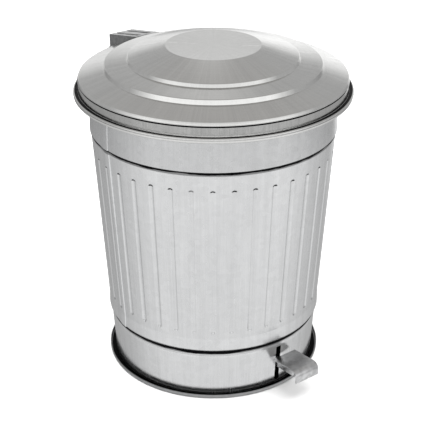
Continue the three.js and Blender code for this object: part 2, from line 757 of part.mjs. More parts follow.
function rodGuide(height) {
  const low = height - guideHeight / 2;
  const high = height + guideHeight / 2;
  const seat = (z) => wall(z) + seatGap;
  const base = [
    point(seat(low), low),
    point(seat(low) + plateSheet, low),
    point(seat(high) + plateSheet, high),
    point(seat(high), high),
  ];
  const half = THREE.MathUtils.radToDeg(guideWidth / 2 / wall(height));
  const rodAt = rodY(high);
  const tongue = new THREE.Shape();
  const root = seat(high) + plateSheet / 2;
  tongue.moveTo(rodX - guideReach, root);
  tongue.lineTo(rodX + guideReach, root);
  tongue.absarc(rodX, rodAt, guideReach, 0, Math.PI, false);
  const shelf = new THREE.ExtrudeGeometry(tongue, { depth: plateSheet, bevelEnabled: false, curveSegments: 8 });
  shelf.translate(0, 0, high - plateSheet);
  const hole = new THREE.CylinderGeometry(rodRadius + guideHoleGap, rodRadius + guideHoleGap, 20, 16);
  hole.rotateX(Math.PI / 2 - rodTilt);
  hole.translate(rodX, rodY(high - plateSheet / 2), high - plateSheet / 2);
  return cut(
    joined(sectorOf(base, 180 - half, 180 + half, 4), shelf),
    hole, guideDrill(height, -1), guideDrill(height, 1));
}

// ---------------------------------------------------------------- lift rod

const rodSlotHalf = liftArm * (1 - Math.cos(halfSwing)) / 2 + 0.3;    // play of the lift pin in the rod's eye
const rodPinHole = liftPinRadius + 0.6;

const capX = -rodX - leverSheet / 2 - seatGap;                        // cap's mouth, from the rod's line

// Round rod with a flat slotted eye on top and a leg bent across at the bottom. It stands on its leg's middle.
function liftRod() {
  const length = (liftPinZ - rodLowZ) / Math.cos(rodTilt);
  const outline = (radius) => [
    ...arc(rodSlotHalf, 0, radius, -90, 90, 6),
    ...arc(-rodSlotHalf, 0, radius, 90, 270, 6),
  ];
  const eye = new THREE.Shape(outline(rodPinHole + rodEyeWall));
  eye.holes.push(new THREE.Path(outline(rodPinHole)));
  const plate = sidePlate(eye, 0, rodEyeSheet);
  plate.translate(0, 0, length);
  const shank = wireOf([
    new THREE.Vector3(0, 0, length - rodPinHole - rodEyeWall / 2),
    ...arc(-rodBend, rodBend, rodBend, 0, -90, 3).map((place) => new THREE.Vector3(place.x, 0, place.y)),
    new THREE.Vector3(capX - capLength + rodLegGap, 0, 0),
  ], rodRadius, 10);
  return joined(shank, plate);
}

// ---------------------------------------------------------------- pedal lever and tread

const leverSlope = (leverFrontZ - pivotZ) / (leverFrontEnd + pivotY);
const leverLine = (y) => pivotZ + (pivotY - y) * leverSlope;
const leverHoleHalf = 1.6;
const leverHole = rodRadius + 0.5;

function pedalLever() {
  const shape = new THREE.Shape();
  const front = -leverFrontEnd;
  const half = leverFrontHeight / 2;
  shape.moveTo(front, leverFrontZ - half);
  shape.lineTo(pivotY - 30, leverLine(pivotY - 30) - half);
  shape.lineTo(pivotY, pivotZ - pivotEarRadius);
  shape.lineTo(pivotY + 30, leverLine(pivotY + 30) - leverRearHeight / 2);
  shape.lineTo(rodLowY - 16, rodLowZ + 2 - leverRearHeight / 2);
  shape.absarc(rodLowY, rodLowZ, leverEndRadius, -Math.PI / 2, Math.PI / 2, false);
  shape.lineTo(rodLowY - 16, rodLowZ + 1 + leverRearHeight / 2);
  shape.lineTo(pivotY + 30, leverLine(pivotY + 30) + leverRearHeight / 2 + 1);
  shape.lineTo(pivotY, pivotZ + pivotEarRadius);
  shape.lineTo(pivotY - 30, leverLine(pivotY - 30) + half);
  shape.lineTo(front, leverFrontZ + half);
  const axleHole = new THREE.Path();
  axleHole.absarc(pivotY, pivotZ, holeFor(axleRadius), 0, 2 * Math.PI, false);
  const rodHole = new THREE.Path();
  rodHole.absarc(rodLowY + leverHoleHalf, rodLowZ, leverHole, -Math.PI / 2, Math.PI / 2, false);
  rodHole.absarc(rodLowY - leverHoleHalf, rodLowZ, leverHole, Math.PI / 2, Math.PI * 1.5, false);
  shape.holes.push(axleHole, rodHole);
  return sidePlate(shape, 0, leverSheet, 8);
}

function pedalTread() {
  const seat = leverFrontHeight / 2 + seatGap + treadSheet / 2;
  const bendY = -treadOuter + treadBend + treadSheet / 2;
  const top = leverLine(bendY) + seat;
  const line = [
    point(-treadInner, leverLine(-treadInner) + seat),
    ...arc(bendY, top - treadBend, treadBend, 90, 180, 4),
    point(-treadOuter + treadSheet / 2, top - treadLip),
  ];
  const blade = new THREE.Shape(sheetOutline(line, treadSheet));
  const plate = sidePlate(blade, (treadLeft + treadRight) / 2, treadRight - treadLeft);
  const lug = new THREE.Shape([
    point(-treadInner - 4, leverLine(-treadInner - 4) + seat),
    point(-leverFrontEnd + 2, leverLine(-leverFrontEnd + 2) + seat),
    point(-leverFrontEnd + 2, leverFrontZ - treadFlange / 2),
    point(-treadInner - 4, leverFrontZ - treadFlange / 2),
  ]);
  const lugX = leverSheet / 2 + seatGap + treadSheet / 2;
  return joined(plate, sidePlate(lug, lugX, treadSheet));
}

function pivotBracket() {
  const high = floorUnder - seatGap;
  const base = box(pivotSpan, pivotBaseLength, plateSheet, 0, pivotY, high - plateSheet / 2);
  const ear = new THREE.Shape();
  ear.moveTo(pivotY + pivotBaseLength / 2, high);
  ear.lineTo(pivotY - pivotBaseLength / 2, high);
  ear.absarc(pivotY, pivotZ, pivotEarRadius, Math.PI * 1.06, Math.PI * 1.94, false);
  const earX = (pivotEarSpan + plateSheet) / 2;
  const drills = pivotRivets.map((y) => drillGeometry(plateSheet + sheet).translate(0, y, high));
  return cut(
    joined(base, sidePlate(ear, earX, plateSheet, 6), sidePlate(ear, -earX, plateSheet, 6)),
    crossBar(holeFor(axleRadius), -pivotSpan, pivotSpan, pivotY, pivotZ),
    ...drills,
  );
}

function pivotSpacer(side) {
  return spacer(side, leverSheet / 2, pivotEarSpan / 2, axleRadius, pivotY, pivotZ);
}

// Cap pushed on the rod's lower leg, outside the lever. Its mouth faces the lever.
function rodCap() {
  return cut(
    crossBar(rodRadius + capWall, capX - capLength, capX, 0, 0, 12),
    crossBar(holeFor(rodRadius), capX - capLength + rodLegGap - seatGap, capX + 1, 0, 0));
}

// ---------------------------------------------------------------- inner bucket and its bail

const bucketWall = (z) => wall(z) - sheet - fluteDepth - bucketGap;
const bucketTopRadius = bucketWall(bucketHigh);
const bailY = 0;
const bailZ = bucketHigh + bucketRoll + sheet / 2 + bailEarRise;
const earSeat = (z) => bucketWall(z) + seatGap;
const earRivetZ = bucketHigh - 14;

function earDrill(side) {
  return outward(drillGeometry(plateSheet + sheet), side * 90, bucketWall(earRivetZ), earRivetZ, rodTilt);
}

function bucketShell() {
  const low = bucketLow + sheet / 2;
  const lowRadius = bucketWall(bucketLow) - sheet / 2;
  const ringInner = lowRadius - bucketCorner - bucketFootWidth;
  const line = [
    point(0, low + bucketFootRise),
    point(ringInner - bucketFootRun, low + bucketFootRise),
    point(ringInner, low),
    point(lowRadius - bucketCorner, low),
    point(lowRadius, low + bucketCorner),
    ...arc(bucketTopRadius - sheet / 2 + bucketRoll, bucketHigh, bucketRoll, 180, -60, 3),
  ];
  return cut(dishOf(line, sheet, innerColumns), earDrill(-1), earDrill(1));
}

// The ear is bent out round the rim and holds the bail above it.
function bucketEar(side) {
  const rimOut = bucketTopRadius + 2 * bucketRoll + sheet + seatGap;
  const low = bucketHigh - bailEarDrop;
  const line = [
    point(earSeat(low) + plateSheet / 2, low),
    point(earSeat(bucketHigh - 8) + plateSheet / 2, bucketHigh - 8),
    point(rimOut + plateSheet / 2, bucketHigh - 3),
    point(rimOut + plateSheet / 2, bailZ + 6),
  ];
  const half = THREE.MathUtils.radToDeg(bailEarWidth / 2 / bucketTopRadius);
  const strip = sectorOf(sheetOutline(line, plateSheet), side * 90 - half, side * 90 + half, 2);
  const eye = crossBar(bailWire + bailPlay, 0, 2 * bucketTopRadius, bailY, bailZ, 10);
  eye.rotateZ(side < 0 ? Math.PI : 0);
  return cut(strip, eye, earDrill(side));
}

const bailEnd = bucketTopRadius + 2 * bucketRoll + sheet + seatGap + plateSheet + bailEndReach;
const bailRadius = bucketTopRadius - 3;
const bailReach = 84;                                                 // half of the ring's arc, in degrees
const bailSteps = 16;

// A half ring that lies on the bucket's rim, with straight ends through the ears.
function bailHoop() {
  const turns = Array.from({ length: bailSteps + 1 }, (_, step) => bailReach * (2 * step / bailSteps - 1));
  return wireOf([
    new THREE.Vector3(-bailEnd, bailY, bailZ),
    new THREE.Vector3(-bailRadius, bailY, bailZ),
    ...turns.map((angle) => ringPoint(bailRadius, degrees(angle), bailZ)),
    new THREE.Vector3(bailRadius, bailY, bailZ),
    new THREE.Vector3(bailEnd, bailY, bailZ),
  ], bailWire, 8);
}

function bailGrip() {
  const half = THREE.MathUtils.radToDeg(bailGripLength / 2 / bailRadius);
  const ring = (radius) => arc(bailRadius, bailZ, radius, 0, 360, 8).slice(1);
  const outer = sectorOf(ring(bailGripRadius), -half, half, 6);
  const inner = sectorOf(ring(bailWire + 1), -half - 2, half + 2, 6);
  return cut(outer, inner);
}

// ---------------------------------------------------------------- the bin, piece by piece

node(bin, 'body_shell', bodyShell(), zinc);
node(bin, 'body_rim_wire',
  ringWire(bandRadius - sheet / 2 + rollRadius, rimHeight, bodyHiddenColumns), steelPin);
node(bin, 'body_floor', bodyFloor(), zincDull);
node(bin, 'base_collar', baseCollar(), zinc);
node(bin, 'hinge_bracket', hingeBracket(), zincDull);
node(bin, 'hinge_pin', headedPin(hingePinRadius, bracketSpan / 2 + plateSheet / 2, hingeY, hingeZ), steelPin);
node(bin, 'hinge_washer_left', washer(-1), steelPin);
node(bin, 'hinge_washer_right', washer(1), steelPin);
bracketRivets.forEach((place, index) => {
  const turnAngle = angleAt(place.side * bracketRivetX, bandRadius);
  const rivet = outward(rivetGeometry(plateSheet + seatGap + sheet + rivetPlay), turnAngle,
    bracketSeat + plateSheet, place.z, 0);
  node(bin, `hinge_bracket_rivet_${index + 1}`, rivet, steelPin);
});

['lower', 'upper'].forEach((name, index) => {
  const height = guideHeights[index];
  node(bin, `rod_guide_${name}`, rodGuide(height), zincDull);
  [-1, 1].forEach((side) => {
    const radius = wall(height);
    const rivet = outward(rivetGeometry(plateSheet + seatGap + sheet + rivetPlay),
      angleAt(side * guideRivetX, radius), radius + seatGap + plateSheet, height, rodTilt);
    node(bin, `rod_guide_${name}_rivet_${side < 0 ? 'right' : 'left'}`, rivet, steelPin);
  });
});

node(bin, 'pedal_pivot_bracket', pivotBracket(), zincDull);
node(bin, 'pedal_axle', headedPin(axleRadius, pivotSpan / 2, pivotY, pivotZ), steelPin);
node(bin, 'pivot_spacer_left', pivotSpacer(-1), steelPin);
node(bin, 'pivot_spacer_right', pivotSpacer(1), steelPin);
pivotRivets.forEach((y, index) => {
  const rivet = rivetGeometry(sheet + seatGap + plateSheet);
  rivet.rotateX(Math.PI);
  rivet.translate(0, y, floorUnder - seatGap - plateSheet);
  node(bin, `pivot_bracket_rivet_${index + 1}`, rivet, steelPin);
});

const lid = new THREE.Group();
bin.add(lid);
node(lid, 'lid_shell', lidShell(), zincPale);
node(lid, 'lid_rim_wire', ringWire(lidRollCentre, lidRollHeight, lidColumns), steelPin);
node(lid, 'lid_hinge_strap', lidStrap(), zincDull);
node(lid, 'lift_pin', headedPin(liftPinRadius, strapWidth / 2, liftPinY, liftPinZ), steelPin);
strapRivets.forEach((place, index) => {
  const rivet = rivetGeometry(plateSheet + seatGap + sheet + rivetPlay);
  rivet.translate(0, 0, seatGap + plateSheet);
  node(lid, `strap_rivet_${index + 1}`, onLid(rivet, place.side * strapRivetX, place.y), steelPin);
});

const pedal = new THREE.Group();
bin.add(pedal);
node(pedal, 'pedal_lever', pedalLever(), zincDull);
node(pedal, 'pedal_tread', pedalTread(), zincDull);

const lift = new THREE.Group();
lift.position.set(rodX, rodLowY, rodLowZ);
lift.rotation.x = -rodTilt;
bin.add(lift);
node(lift, 'lift_rod', liftRod(), steelPin);
node(lift, 'rod_cap', rodCap(), steelPin);

const bucket = new THREE.Group();
bin.add(bucket);
node(bucket, 'bucket_shell', bucketShell(), zincDull);
[-1, 1].forEach((side) => {
  const name = side < 0 ? 'left' : 'right';
  node(bucket, `bucket_ear_${name}`, bucketEar(side), zincDull);
  const rivet = outward(rivetGeometry(plateSheet + seatGap + sheet), side * 90,
    earSeat(earRivetZ) + plateSheet, earRivetZ, rodTilt);
  node(bucket, `bucket_ear_rivet_${name}`, rivet, steelPin);
});
node(bucket, 'bail_wire', bailHoop(), steelPin);
node(bucket, 'bail_grip', bailGrip(), zincDull);

export default bin;
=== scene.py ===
"""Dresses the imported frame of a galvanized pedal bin. Metres, +Z up, the pedal points to -Y."""

import math

import bmesh
import bpy
from mathutils import Matrix, Vector


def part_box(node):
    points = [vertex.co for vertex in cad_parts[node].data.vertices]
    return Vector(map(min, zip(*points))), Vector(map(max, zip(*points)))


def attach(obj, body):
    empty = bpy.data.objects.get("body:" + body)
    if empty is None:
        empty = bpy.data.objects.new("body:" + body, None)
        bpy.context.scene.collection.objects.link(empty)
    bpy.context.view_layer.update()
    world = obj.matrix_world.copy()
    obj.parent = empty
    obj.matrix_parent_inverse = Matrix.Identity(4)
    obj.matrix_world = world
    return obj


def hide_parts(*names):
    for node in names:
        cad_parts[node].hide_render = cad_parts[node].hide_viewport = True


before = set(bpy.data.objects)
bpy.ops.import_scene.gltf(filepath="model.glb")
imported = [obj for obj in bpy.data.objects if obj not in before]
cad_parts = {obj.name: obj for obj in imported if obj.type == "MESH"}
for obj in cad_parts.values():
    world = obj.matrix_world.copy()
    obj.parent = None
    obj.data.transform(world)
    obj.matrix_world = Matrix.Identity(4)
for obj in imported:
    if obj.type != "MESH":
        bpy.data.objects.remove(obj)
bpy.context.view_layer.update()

bl_info = {
    "name": "Galvanized Pedal Bin",
    "version": (1, 0, 0),
    "blender": (4, 5, 0),
    "location": "View3D > Sidebar > Pedal Bin",
    "description": "Builds a fluted sheet-metal pedal bin with its lid, linkage and inner bucket",
    "category": "Object",
}

AXIS = Vector((0.0, -0.012, 0.0))          # the bin's own axis in the frame
MM = 0.001
TURN = 2 * math.pi


# ---- settings

def length(name, description, default):
    """A setting in metres."""
    return bpy.props.FloatProperty(name=name, description=description, default=default, unit="LENGTH")


def angle(name, description, degrees):
    """A setting that is given here in degrees."""
    return bpy.props.FloatProperty(
        name=name, description=description, default=math.radians(degrees), subtype="ANGLE")


def colour(name, description, default):
    """A colour setting."""
    return bpy.props.FloatVectorProperty(
        name=name, description=description, default=default, subtype="COLOR", size=3)


class BinSizes(bpy.types.PropertyGroup):
    """Sizes of the sheet-metal pieces."""
    sheet: length("Sheet", "Thickness of the sheet", 0.001)
    band_radius: length("Band Radius", "Outer radius of the upright band", 0.160)
    band_low: length("Band Low", "Height at which the upright band begins", 0.341)
    wall_taper: bpy.props.FloatProperty(
        name="Wall Taper", description="Growth of the radius for each metre of height", default=0.06144)
    body_low: length("Body Low", "Lower edge of the body", 0.0725)
    foot_bead: length("Foot Bead", "Upper end of the bead at the lower edge", 0.089)
    bead_low: length("Bead Low", "Sharp lower edge of the upper bead", 0.3322)
    bead_depth: length("Bead Depth", "How far the beads stand out", 0.0014)
    rim_height: length("Rim Height", "Middle of the body's rolled rim", 0.4002)
    roll_radius: length("Roll Radius", "Middle line of a rolled edge", 0.0029)
    flutes: bpy.props.IntProperty(
        name="Flutes", description="Number of pressed flutes", default=38, min=3)
    flute_width: length("Flute Width", "Width across a flute's mouth", 0.0072)
    flute_floor: length("Flute Floor", "Width of a flute's floor", 0.0024)
    flute_depth: length("Flute Depth", "Depth of a flute", 0.0010)
    flute_low: length("Flute Low", "Lower end of the flutes", 0.0992)
    flute_high: length("Flute High", "Upper end of the flutes", 0.3092)
    seam_height: length("Seam Height", "Step of the lapped seam", 0.0013)
    seam_width: length("Seam Width", "Width of the lapped seam", 0.009)
    seam_angle: angle("Seam Angle", "Place of the seam's open edge, from the pedal's side", -91.5)


class BinFinish(bpy.types.PropertyGroup):
    """Colours and wear of the metal, and the strength of the painted shade in its creases."""
    body_colour: colour("Body Colour", "Zinc on the body and base", (0.66, 0.665, 0.67))
    lid_colour: colour("Lid Colour", "Zinc on the lid", (0.70, 0.70, 0.69))
    bracket_colour: colour(
        "Bracket Colour", "Zinc on the pressed brackets and the tread", (0.56, 0.562, 0.566))
    wire_colour: colour("Wire Colour", "Plating on wire, pins and rod", (0.52, 0.53, 0.54))
    bucket_colour: colour("Bucket Colour", "Zinc on the bucket and the floor", (0.55, 0.555, 0.56))
    rivet_colour: colour("Rivet Colour", "Zinc on the rivets", (0.55, 0.56, 0.57))
    spangle: length("Spangle", "Size of the zinc crystals", 0.007)
    shade_amount: bpy.props.FloatProperty(
        name="Crease Shade", description="Strength of the grime in creases", default=1.0, subtype="FACTOR",
        min=0, max=1)


class BinStage(bpy.types.PropertyGroup):
    """Camera and studio light."""
    lens: bpy.props.FloatProperty(
        name="Lens", description="Focal length for a 36 mm sensor", default=96.96, unit="CAMERA")
    distance: length("Distance", "Level distance from the bin's axis to the camera", 1.3939)
    height: length("Height", "Camera height above the floor", 0.900)
    turn: angle("Turn", "Direction of the camera round the bin, from the pedal's side", -37.6)
    pitch: angle("Pitch", "How far the camera looks down", 26.66)
    sky: bpy.props.FloatProperty(
        name="Sky", description="Strength of the studio's surroundings", default=1.0)
    floor_light: bpy.props.FloatProperty(
        name="Floor Light", description="Power of the light over the floor", default=190.0, unit="POWER")


SETTINGS = (("pedal_bin_sizes", BinSizes), ("pedal_bin_finish", BinFinish), ("pedal_bin_stage", BinStage))


def sizes():
    """The sizes in use."""
    return bpy.context.scene.pedal_bin_sizes


# ---- outlines, as lists of (radius, height)

def arc(x, z, radius, start, end, steps):
    """Points on a circle's arc, its angles in degrees."""
    turns = [math.radians(start + (end - start) * k / steps) for k in range(steps + 1)]
    return [(x + radius * math.cos(t), z + radius * math.sin(t)) for t in turns]


def rounded(line, radius, steps=4):
    """The line with its inner corners turned into arcs of about that radius."""
    result = [line[0]]
    for before, here, after in zip(line, line[1:], line[2:]):
        into = Vector(before) - Vector(here)
        out = Vector(after) - Vector(here)
        half = into.angle(out, 0) / 2
        if half < 0.01 or math.pi / 2 - half < 0.02:          # folded back, or nearly straight
            result.append(here)
            continue
        reach = min(radius / math.tan(half), 0.45 * into.length, 0.45 * out.length)
        first = Vector(here) + into.normalized() * reach
        last = Vector(here) + out.normalized() * reach
        for k in range(steps + 1):
            t = k / steps
            place = first * (1 - t) ** 2 + Vector(here) * 2 * t * (1 - t) + last * t ** 2
            result.append(tuple(place))
    return result + [line[-1]]


def beside(line, distance):
    """The line moved sideways, to the right of its own direction."""
    points = [Vector(place) for place in line]
    ways = [after - here for here, after in zip(points, points[1:])]
    aside = [Vector((way.y, -way.x)).normalized() for way in ways]
    result = []
    for here, first, last in zip(points, aside[:1] + aside, aside + aside[-1:]):
        middle = (first + last).normalized()
        result.append(tuple(here + middle * distance / max(middle.dot(first), 0.3)))
    return result


def sheet_outline(line, thickness, from_axis=False):
    """A closed outline of sheet round its middle line, which may start on the axis."""
    outline = beside(line, thickness / 2) + beside(line, -thickness / 2)[::-1]
    if from_axis:
        outline[0] = (0.0, outline[0][1])
        outline[-1] = (0.0, outline[-1][1])
    return outline


def with_rows(line, heights):
    """The line with a point wherever it crosses one of the heights."""
    result = [line[0]]
    for before, here in zip(line, line[1:]):
        low, high = sorted((before[1], here[1]))
        cuts = [h for h in heights if low + 1e-6 < h < high - 1e-6]
        for h in sorted(cuts, reverse=here[1] < before[1]):
            share = (h - before[1]) / (here[1] - before[1])
            result.append((before[0] + (here[0] - before[0]) * share, h))
        result.append(here)
    return result


def spread(line, step):
    """The line with more points, none further apart than step."""
    result = [line[0]]
    for before, here in zip(line, line[1:]):
        pieces = max(1, math.ceil((Vector(here) - Vector(before)).length / step))
        result += [tuple(Vector(before).lerp(Vector(here), k / pieces)) for k in range(1, pieces + 1)]
    return result


def painted_shade_along(line, rule, upward=True):
    """How much painted shade a sheet's outline gets at each of its points, on its outer side only."""
    seen = [rule(*place) for place in line]
    unshaded = [0.0] * len(line)
    return seen + unshaded if upward else unshaded + seen[::-1]


# ---- meshes

def linked(name, mesh):
    """A new object in the scene."""
    piece = bpy.data.objects.new(name, mesh)
    bpy.context.scene.collection.objects.link(piece)
    return piece


def object_of(name, vertices, faces, marks=None, edges=()):
    """A new object from plain lists. Marks holds how much painted shade each vertex gets, from 0 to 1."""
    mesh = bpy.data.meshes.new(name)
    mesh.from_pydata([tuple(v) for v in vertices], edges, faces)
    if marks is not None:
        layer = mesh.attributes.new("crease", "FLOAT", "POINT")
        layer.data.foreach_set("value", marks)
    mesh.validate()
    mesh.update()
    return linked(name, mesh)


def round_place(radius, turn, height):
    """A place round the bin's axis. Turn 0 points to -Y and a quarter turn to +X."""
    return (AXIS.x + radius * math.sin(turn), AXIS.y - radius * math.cos(turn), height)


def turned(name, outline, angles=192, grime=None, closed=True):
    """Turns an outline round the bin's axis. Angles is a count or a list. A closed outline makes a tube,
    an open one runs from the axis to the axis."""
    if isinstance(angles, int):
        angles = [TURN * k / angles for k in range(angles)]
    area = sum(a[0] * b[1] - b[0] * a[1] for a, b in zip(outline, outline[1:] + outline[:1]))
    grime = grime or [0.0] * len(outline)
    if area < 0:
        outline = outline[::-1]
        grime = grime[::-1]
    vertices, rows, marks = [], [], []
    for (radius, height), darkened in zip(outline, grime):
        start = len(vertices)
        if radius < 1e-7:
            rows.append([start] * len(angles))
            vertices.append((AXIS.x, AXIS.y, height))
        else:
            rows.append(list(range(start, start + len(angles))))
            vertices += [round_place(radius, t, height) for t in angles]
        marks += [darkened] * (len(vertices) - start)
    faces = []
    for low, high in zip(rows, rows[1:] + rows[:1] if closed else rows[1:]):
        for j in range(len(angles)):
            k = (j + 1) % len(angles)
            faces.append(tuple(dict.fromkeys((low[j], low[k], high[k], high[j]))))
    return object_of(name, vertices, [f for f in faces if len(f) > 2], marks)


def hoops(name, loops):
    """A closed ring of equal loops of points, as an object with its normals outward."""
    rows, count = len(loops), len(loops[0])
    faces = [(i * count + j, i * count + (j + 1) % count, (i + 1) % rows * count + (j + 1) % count,
              (i + 1) % rows * count + j) for i in range(rows) for j in range(count)]
    piece = object_of(name, [place for loop in loops for place in loop], faces)
    work = bmesh.new()
    work.from_mesh(piece.data)
    bmesh.ops.recalc_face_normals(work, faces=work.faces)
    work.to_mesh(piece.data)
    work.free()
    return piece


def meshed(name, work):
    """A new object from a bmesh, which is freed."""
    mesh = bpy.data.meshes.new(name)
    work.to_mesh(mesh)
    work.free()
    return linked(name, mesh)


def joined(name, pieces):
    """One object from several, with their meshes side by side."""
    work = bmesh.new()
    for piece in pieces:
        work.from_mesh(piece.data)
        bpy.data.objects.remove(piece)
    return meshed(name, work)


def softened(name, node_name, width=0.0003, segments=2):
    """A merged copy of a CAD node with its edges broken."""
    work = bmesh.new()
    work.from_mesh(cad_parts[node_name].data)
    bmesh.ops.remove_doubles(work, verts=work.verts, dist=2e-6)
    bmesh.ops.dissolve_limit(work, angle_limit=math.radians(1.0), verts=work.verts, edges=work.edges)
    sharp = [e for e in work.edges
             if len(e.link_faces) == 2 and e.calc_face_angle(0) > math.radians(38)]
    bmesh.ops.bevel(work, geom=sharp, offset=width, segments=segments, profile=0.5, affect="EDGES",
                    clamp_overlap=True, loop_slide=True)
    bmesh.ops.triangulate(work, faces=[f for f in work.faces if len(f.verts) > 4])
    return meshed(name, work)


def plain_mesh(piece, name):
    """Turns an object's modifiers into a plain mesh on a new object."""
    bpy.context.view_layer.update()
    evaluated = piece.evaluated_get(bpy.context.evaluated_depsgraph_get())
    mesh = bpy.data.meshes.new_from_object(evaluated)
    piece.modifiers.clear()
    bpy.data.objects.remove(piece)
    mesh.name = name
    return linked(name, mesh)


# the finish of each material slot, unless a piece has another
SLOT_FINISHES = {
    "zinc_body": "zinc sheet", "zinc_lid": "zinc lid", "zinc_floor": "bucket zinc",
    "zinc_bucket": "bucket zinc", "zinc_bracket": "dull zinc", "plated_steel": "plated wire",
    "rivet_steel": "rivet zinc"}
PRESSED = dict(finish="dull zinc", sharp=32)           # for a bracket or another piece bent from plate


def settle(piece, body, slot, replaced, finish=None, sharp=40):
    """Smooths, paints and seats a finished piece on its body."""
    piece.data.shade_smooth()
    piece.data.set_sharp_from_angle(angle=math.radians(sharp))
    piece.data.materials.clear()
    piece.data.materials.append(metal(finish or SLOT_FINISHES[slot]))
    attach(piece, body)
    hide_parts(*replaced)


# ---- node trees

def feed(made, inputs):
    """Sets a node's inputs by name or number, from results or plain values."""
    for key, value in inputs.items():
        value = value.socket if isinstance(value, Value) else value
        if isinstance(value, bpy.types.NodeSocket):
            made.id_data.links.new(value, made.inputs[key])
        else:
            made.inputs[key].default_value = value
    return made


def node(tree, kind, inputs=None, **options):
    """A new node, with its options set before its inputs."""
    made = tree.nodes.new(kind)
    for key, value in options.items():
        setattr(made, key, value)
    return feed(made, inputs or {})


class Value:
    """A node's result that can be reckoned with as a number can."""

    def __init__(self, socket):
        self.socket = socket

    def through(self, kind, items, **options):
        """The first result of a new node with these items as its inputs."""
        return Value(node(self.socket.id_data, kind, dict(enumerate(items)), **options).outputs[0])

    def calc(self, operation, *others, clamp=False):
        """The result of a math node."""
        return self.through("ShaderNodeMath", (self, *others), operation=operation, use_clamp=clamp)

    def mapped(self, low, high, to_low=0.0, to_high=1.0, kind="LINEAR"):
        """The value brought from one range to another, and held inside it."""
        return self.through("ShaderNodeMapRange", (self, low, high, to_low, to_high),
                            interpolation_type=kind)

    def __add__(self, other):
        return self.calc("ADD", other)

    def __sub__(self, other):
        return self.calc("SUBTRACT", other)

    def __mul__(self, other):
        return self.calc("MULTIPLY", other)

    def __truediv__(self, other):
        return self.calc("DIVIDE", other)

    def __rtruediv__(self, number):
        return self.through("ShaderNodeMath", (number, self), operation="DIVIDE")


def results(made):
    """A node's outputs as values, by their names."""
    return {socket.name: Value(socket) for socket in made.outputs if socket.name}


def new_group(name, kind, inputs, outputs):
    """A node group with named inputs and outputs, and the values that its inputs bring. Each input has
    its kind, or its default if it is a number. All the outputs are of one kind."""
    tree = bpy.data.node_groups.new(name, kind + "NodeTree")
    for label, given in inputs.items():
        sort = given if isinstance(given, str) else {int: "Int", float: "Float"}[type(given)]
        socket = tree.interface.new_socket(label, in_out="INPUT", socket_type="NodeSocket" + sort)
        if given != sort:
            socket.default_value = given
    for label in outputs:
        sort = "Geometry" if kind == "Geometry" else "Float"
        tree.interface.new_socket(label, in_out="OUTPUT", socket_type="NodeSocket" + sort)
    return tree, results(tree.nodes.new("NodeGroupInput"))


def places(tree, position, axis_y):
    """X and Y from the bin's axis, Z, and the distance from that axis."""
    x, y, z = results(node(tree, "ShaderNodeSeparateXYZ", {0: position})).values()
    y = y - axis_y
    return x, y, z, (x * x + y * y).calc("SQRT")


def noise(tree, vector, scale, detail):
    """The results of a noise texture."""
    return results(node(tree, "ShaderNodeTexNoise", {"Vector": vector, "Scale": scale, "Detail": detail}))


def end_in(tree, geometry, material, output):
    """Ends a geometry tree in Realize Instances and Set Material."""
    real = node(tree, "GeometryNodeRealizeInstances", {0: geometry})
    paint = node(tree, "GeometryNodeSetMaterial", {"Geometry": real.outputs[0], "Material": material})
    node(tree, "NodeGroupOutput", {output: paint.outputs[0]})
    return tree


def flute_tree():
    """Presses a ring of round-ended flutes and one lapped seam into a turned wall."""
    tree, given = new_group("Pressed Flutes", "Geometry", {
        "Wall": "Geometry", "Flutes": 38, "Width": 0.007, "Floor": 0.003, "Depth": 0.0013, "Low": 0.1,
        "High": 0.3, "Seam Height": 0.0009, "Seam Width": 0.009, "Seam Angle": -1.6, "Axis Y": 0.0,
        "Finish": "Material"}, ["Wall"])
    position = tree.nodes.new("GeometryNodeInputPosition").outputs[0]
    x, y, z, radius = places(tree, position, given["Axis Y"])
    turn = x.calc("ARCTAN2", y * -1.0)
    pitch = TURN / given["Flutes"]
    cell = turn / pitch
    number = cell.calc("ROUND")

    # a flute: how far a place is from its middle line, and how deep it is there
    side = (cell - number) * pitch * radius
    half = given["Width"] / 2.0
    over = z - (given["High"] - half)
    under = given["Low"] + half - z
    past = over.calc("MAXIMUM", under).calc("MAXIMUM", 0.0)
    away = (side * side + past * past).calc("SQRT")
    pressed = away.mapped(given["Floor"] / 2.0, half, 1.0, 0.0, "SMOOTHSTEP")
    groove = pressed * given["Depth"]

    # the seam: a step, and behind it a slow fall back to the wall
    lap = (given["Seam Angle"] - turn) * radius
    step = lap.mapped(-0.0002, 0.0002)
    fade = lap.mapped(given["Seam Width"], given["Seam Width"] * 2.2, 1.0, 0.0)
    out = (step * fade * given["Seam Height"] - groove) / radius
    shift = node(tree, "ShaderNodeCombineXYZ", {"X": out * x, "Y": out * y})

    # painted shade where a flute's rounded upper end meets the wall, darker on some flutes than on others
    rounding = pressed.mapped(0.0, 1.0, 1.0, 0.0) * pressed * 4.0
    depth = tree.nodes.new("FunctionNodeRandomValue")
    depth.data_type = "FLOAT"
    least, most, which, seed = [socket for socket in depth.inputs if socket.enabled]
    least.default_value, most.default_value, seed.default_value = 0.45, 1.25, 4
    tree.links.new(number.socket, which)
    share = Value([socket for socket in depth.outputs if socket.enabled][0])
    darkened = rounding.mapped(0.02, 0.30) * (over.mapped(0.0008, 0.0014) * share)
    old = node(tree, "GeometryNodeInputNamedAttribute", {"Name": "crease"}, data_type="FLOAT")
    grime = darkened.calc("MAXIMUM", old.outputs["Attribute"])
    store = node(tree, "GeometryNodeStoreNamedAttribute",
                 {"Name": "crease", "Geometry": given["Wall"], "Value": grime},
                 data_type="FLOAT", domain="POINT")
    move = node(tree, "GeometryNodeSetPosition",
                {"Geometry": store.outputs["Geometry"], "Offset": shift.outputs[0]})
    return end_in(tree, move.outputs["Geometry"], given["Finish"], "Wall")


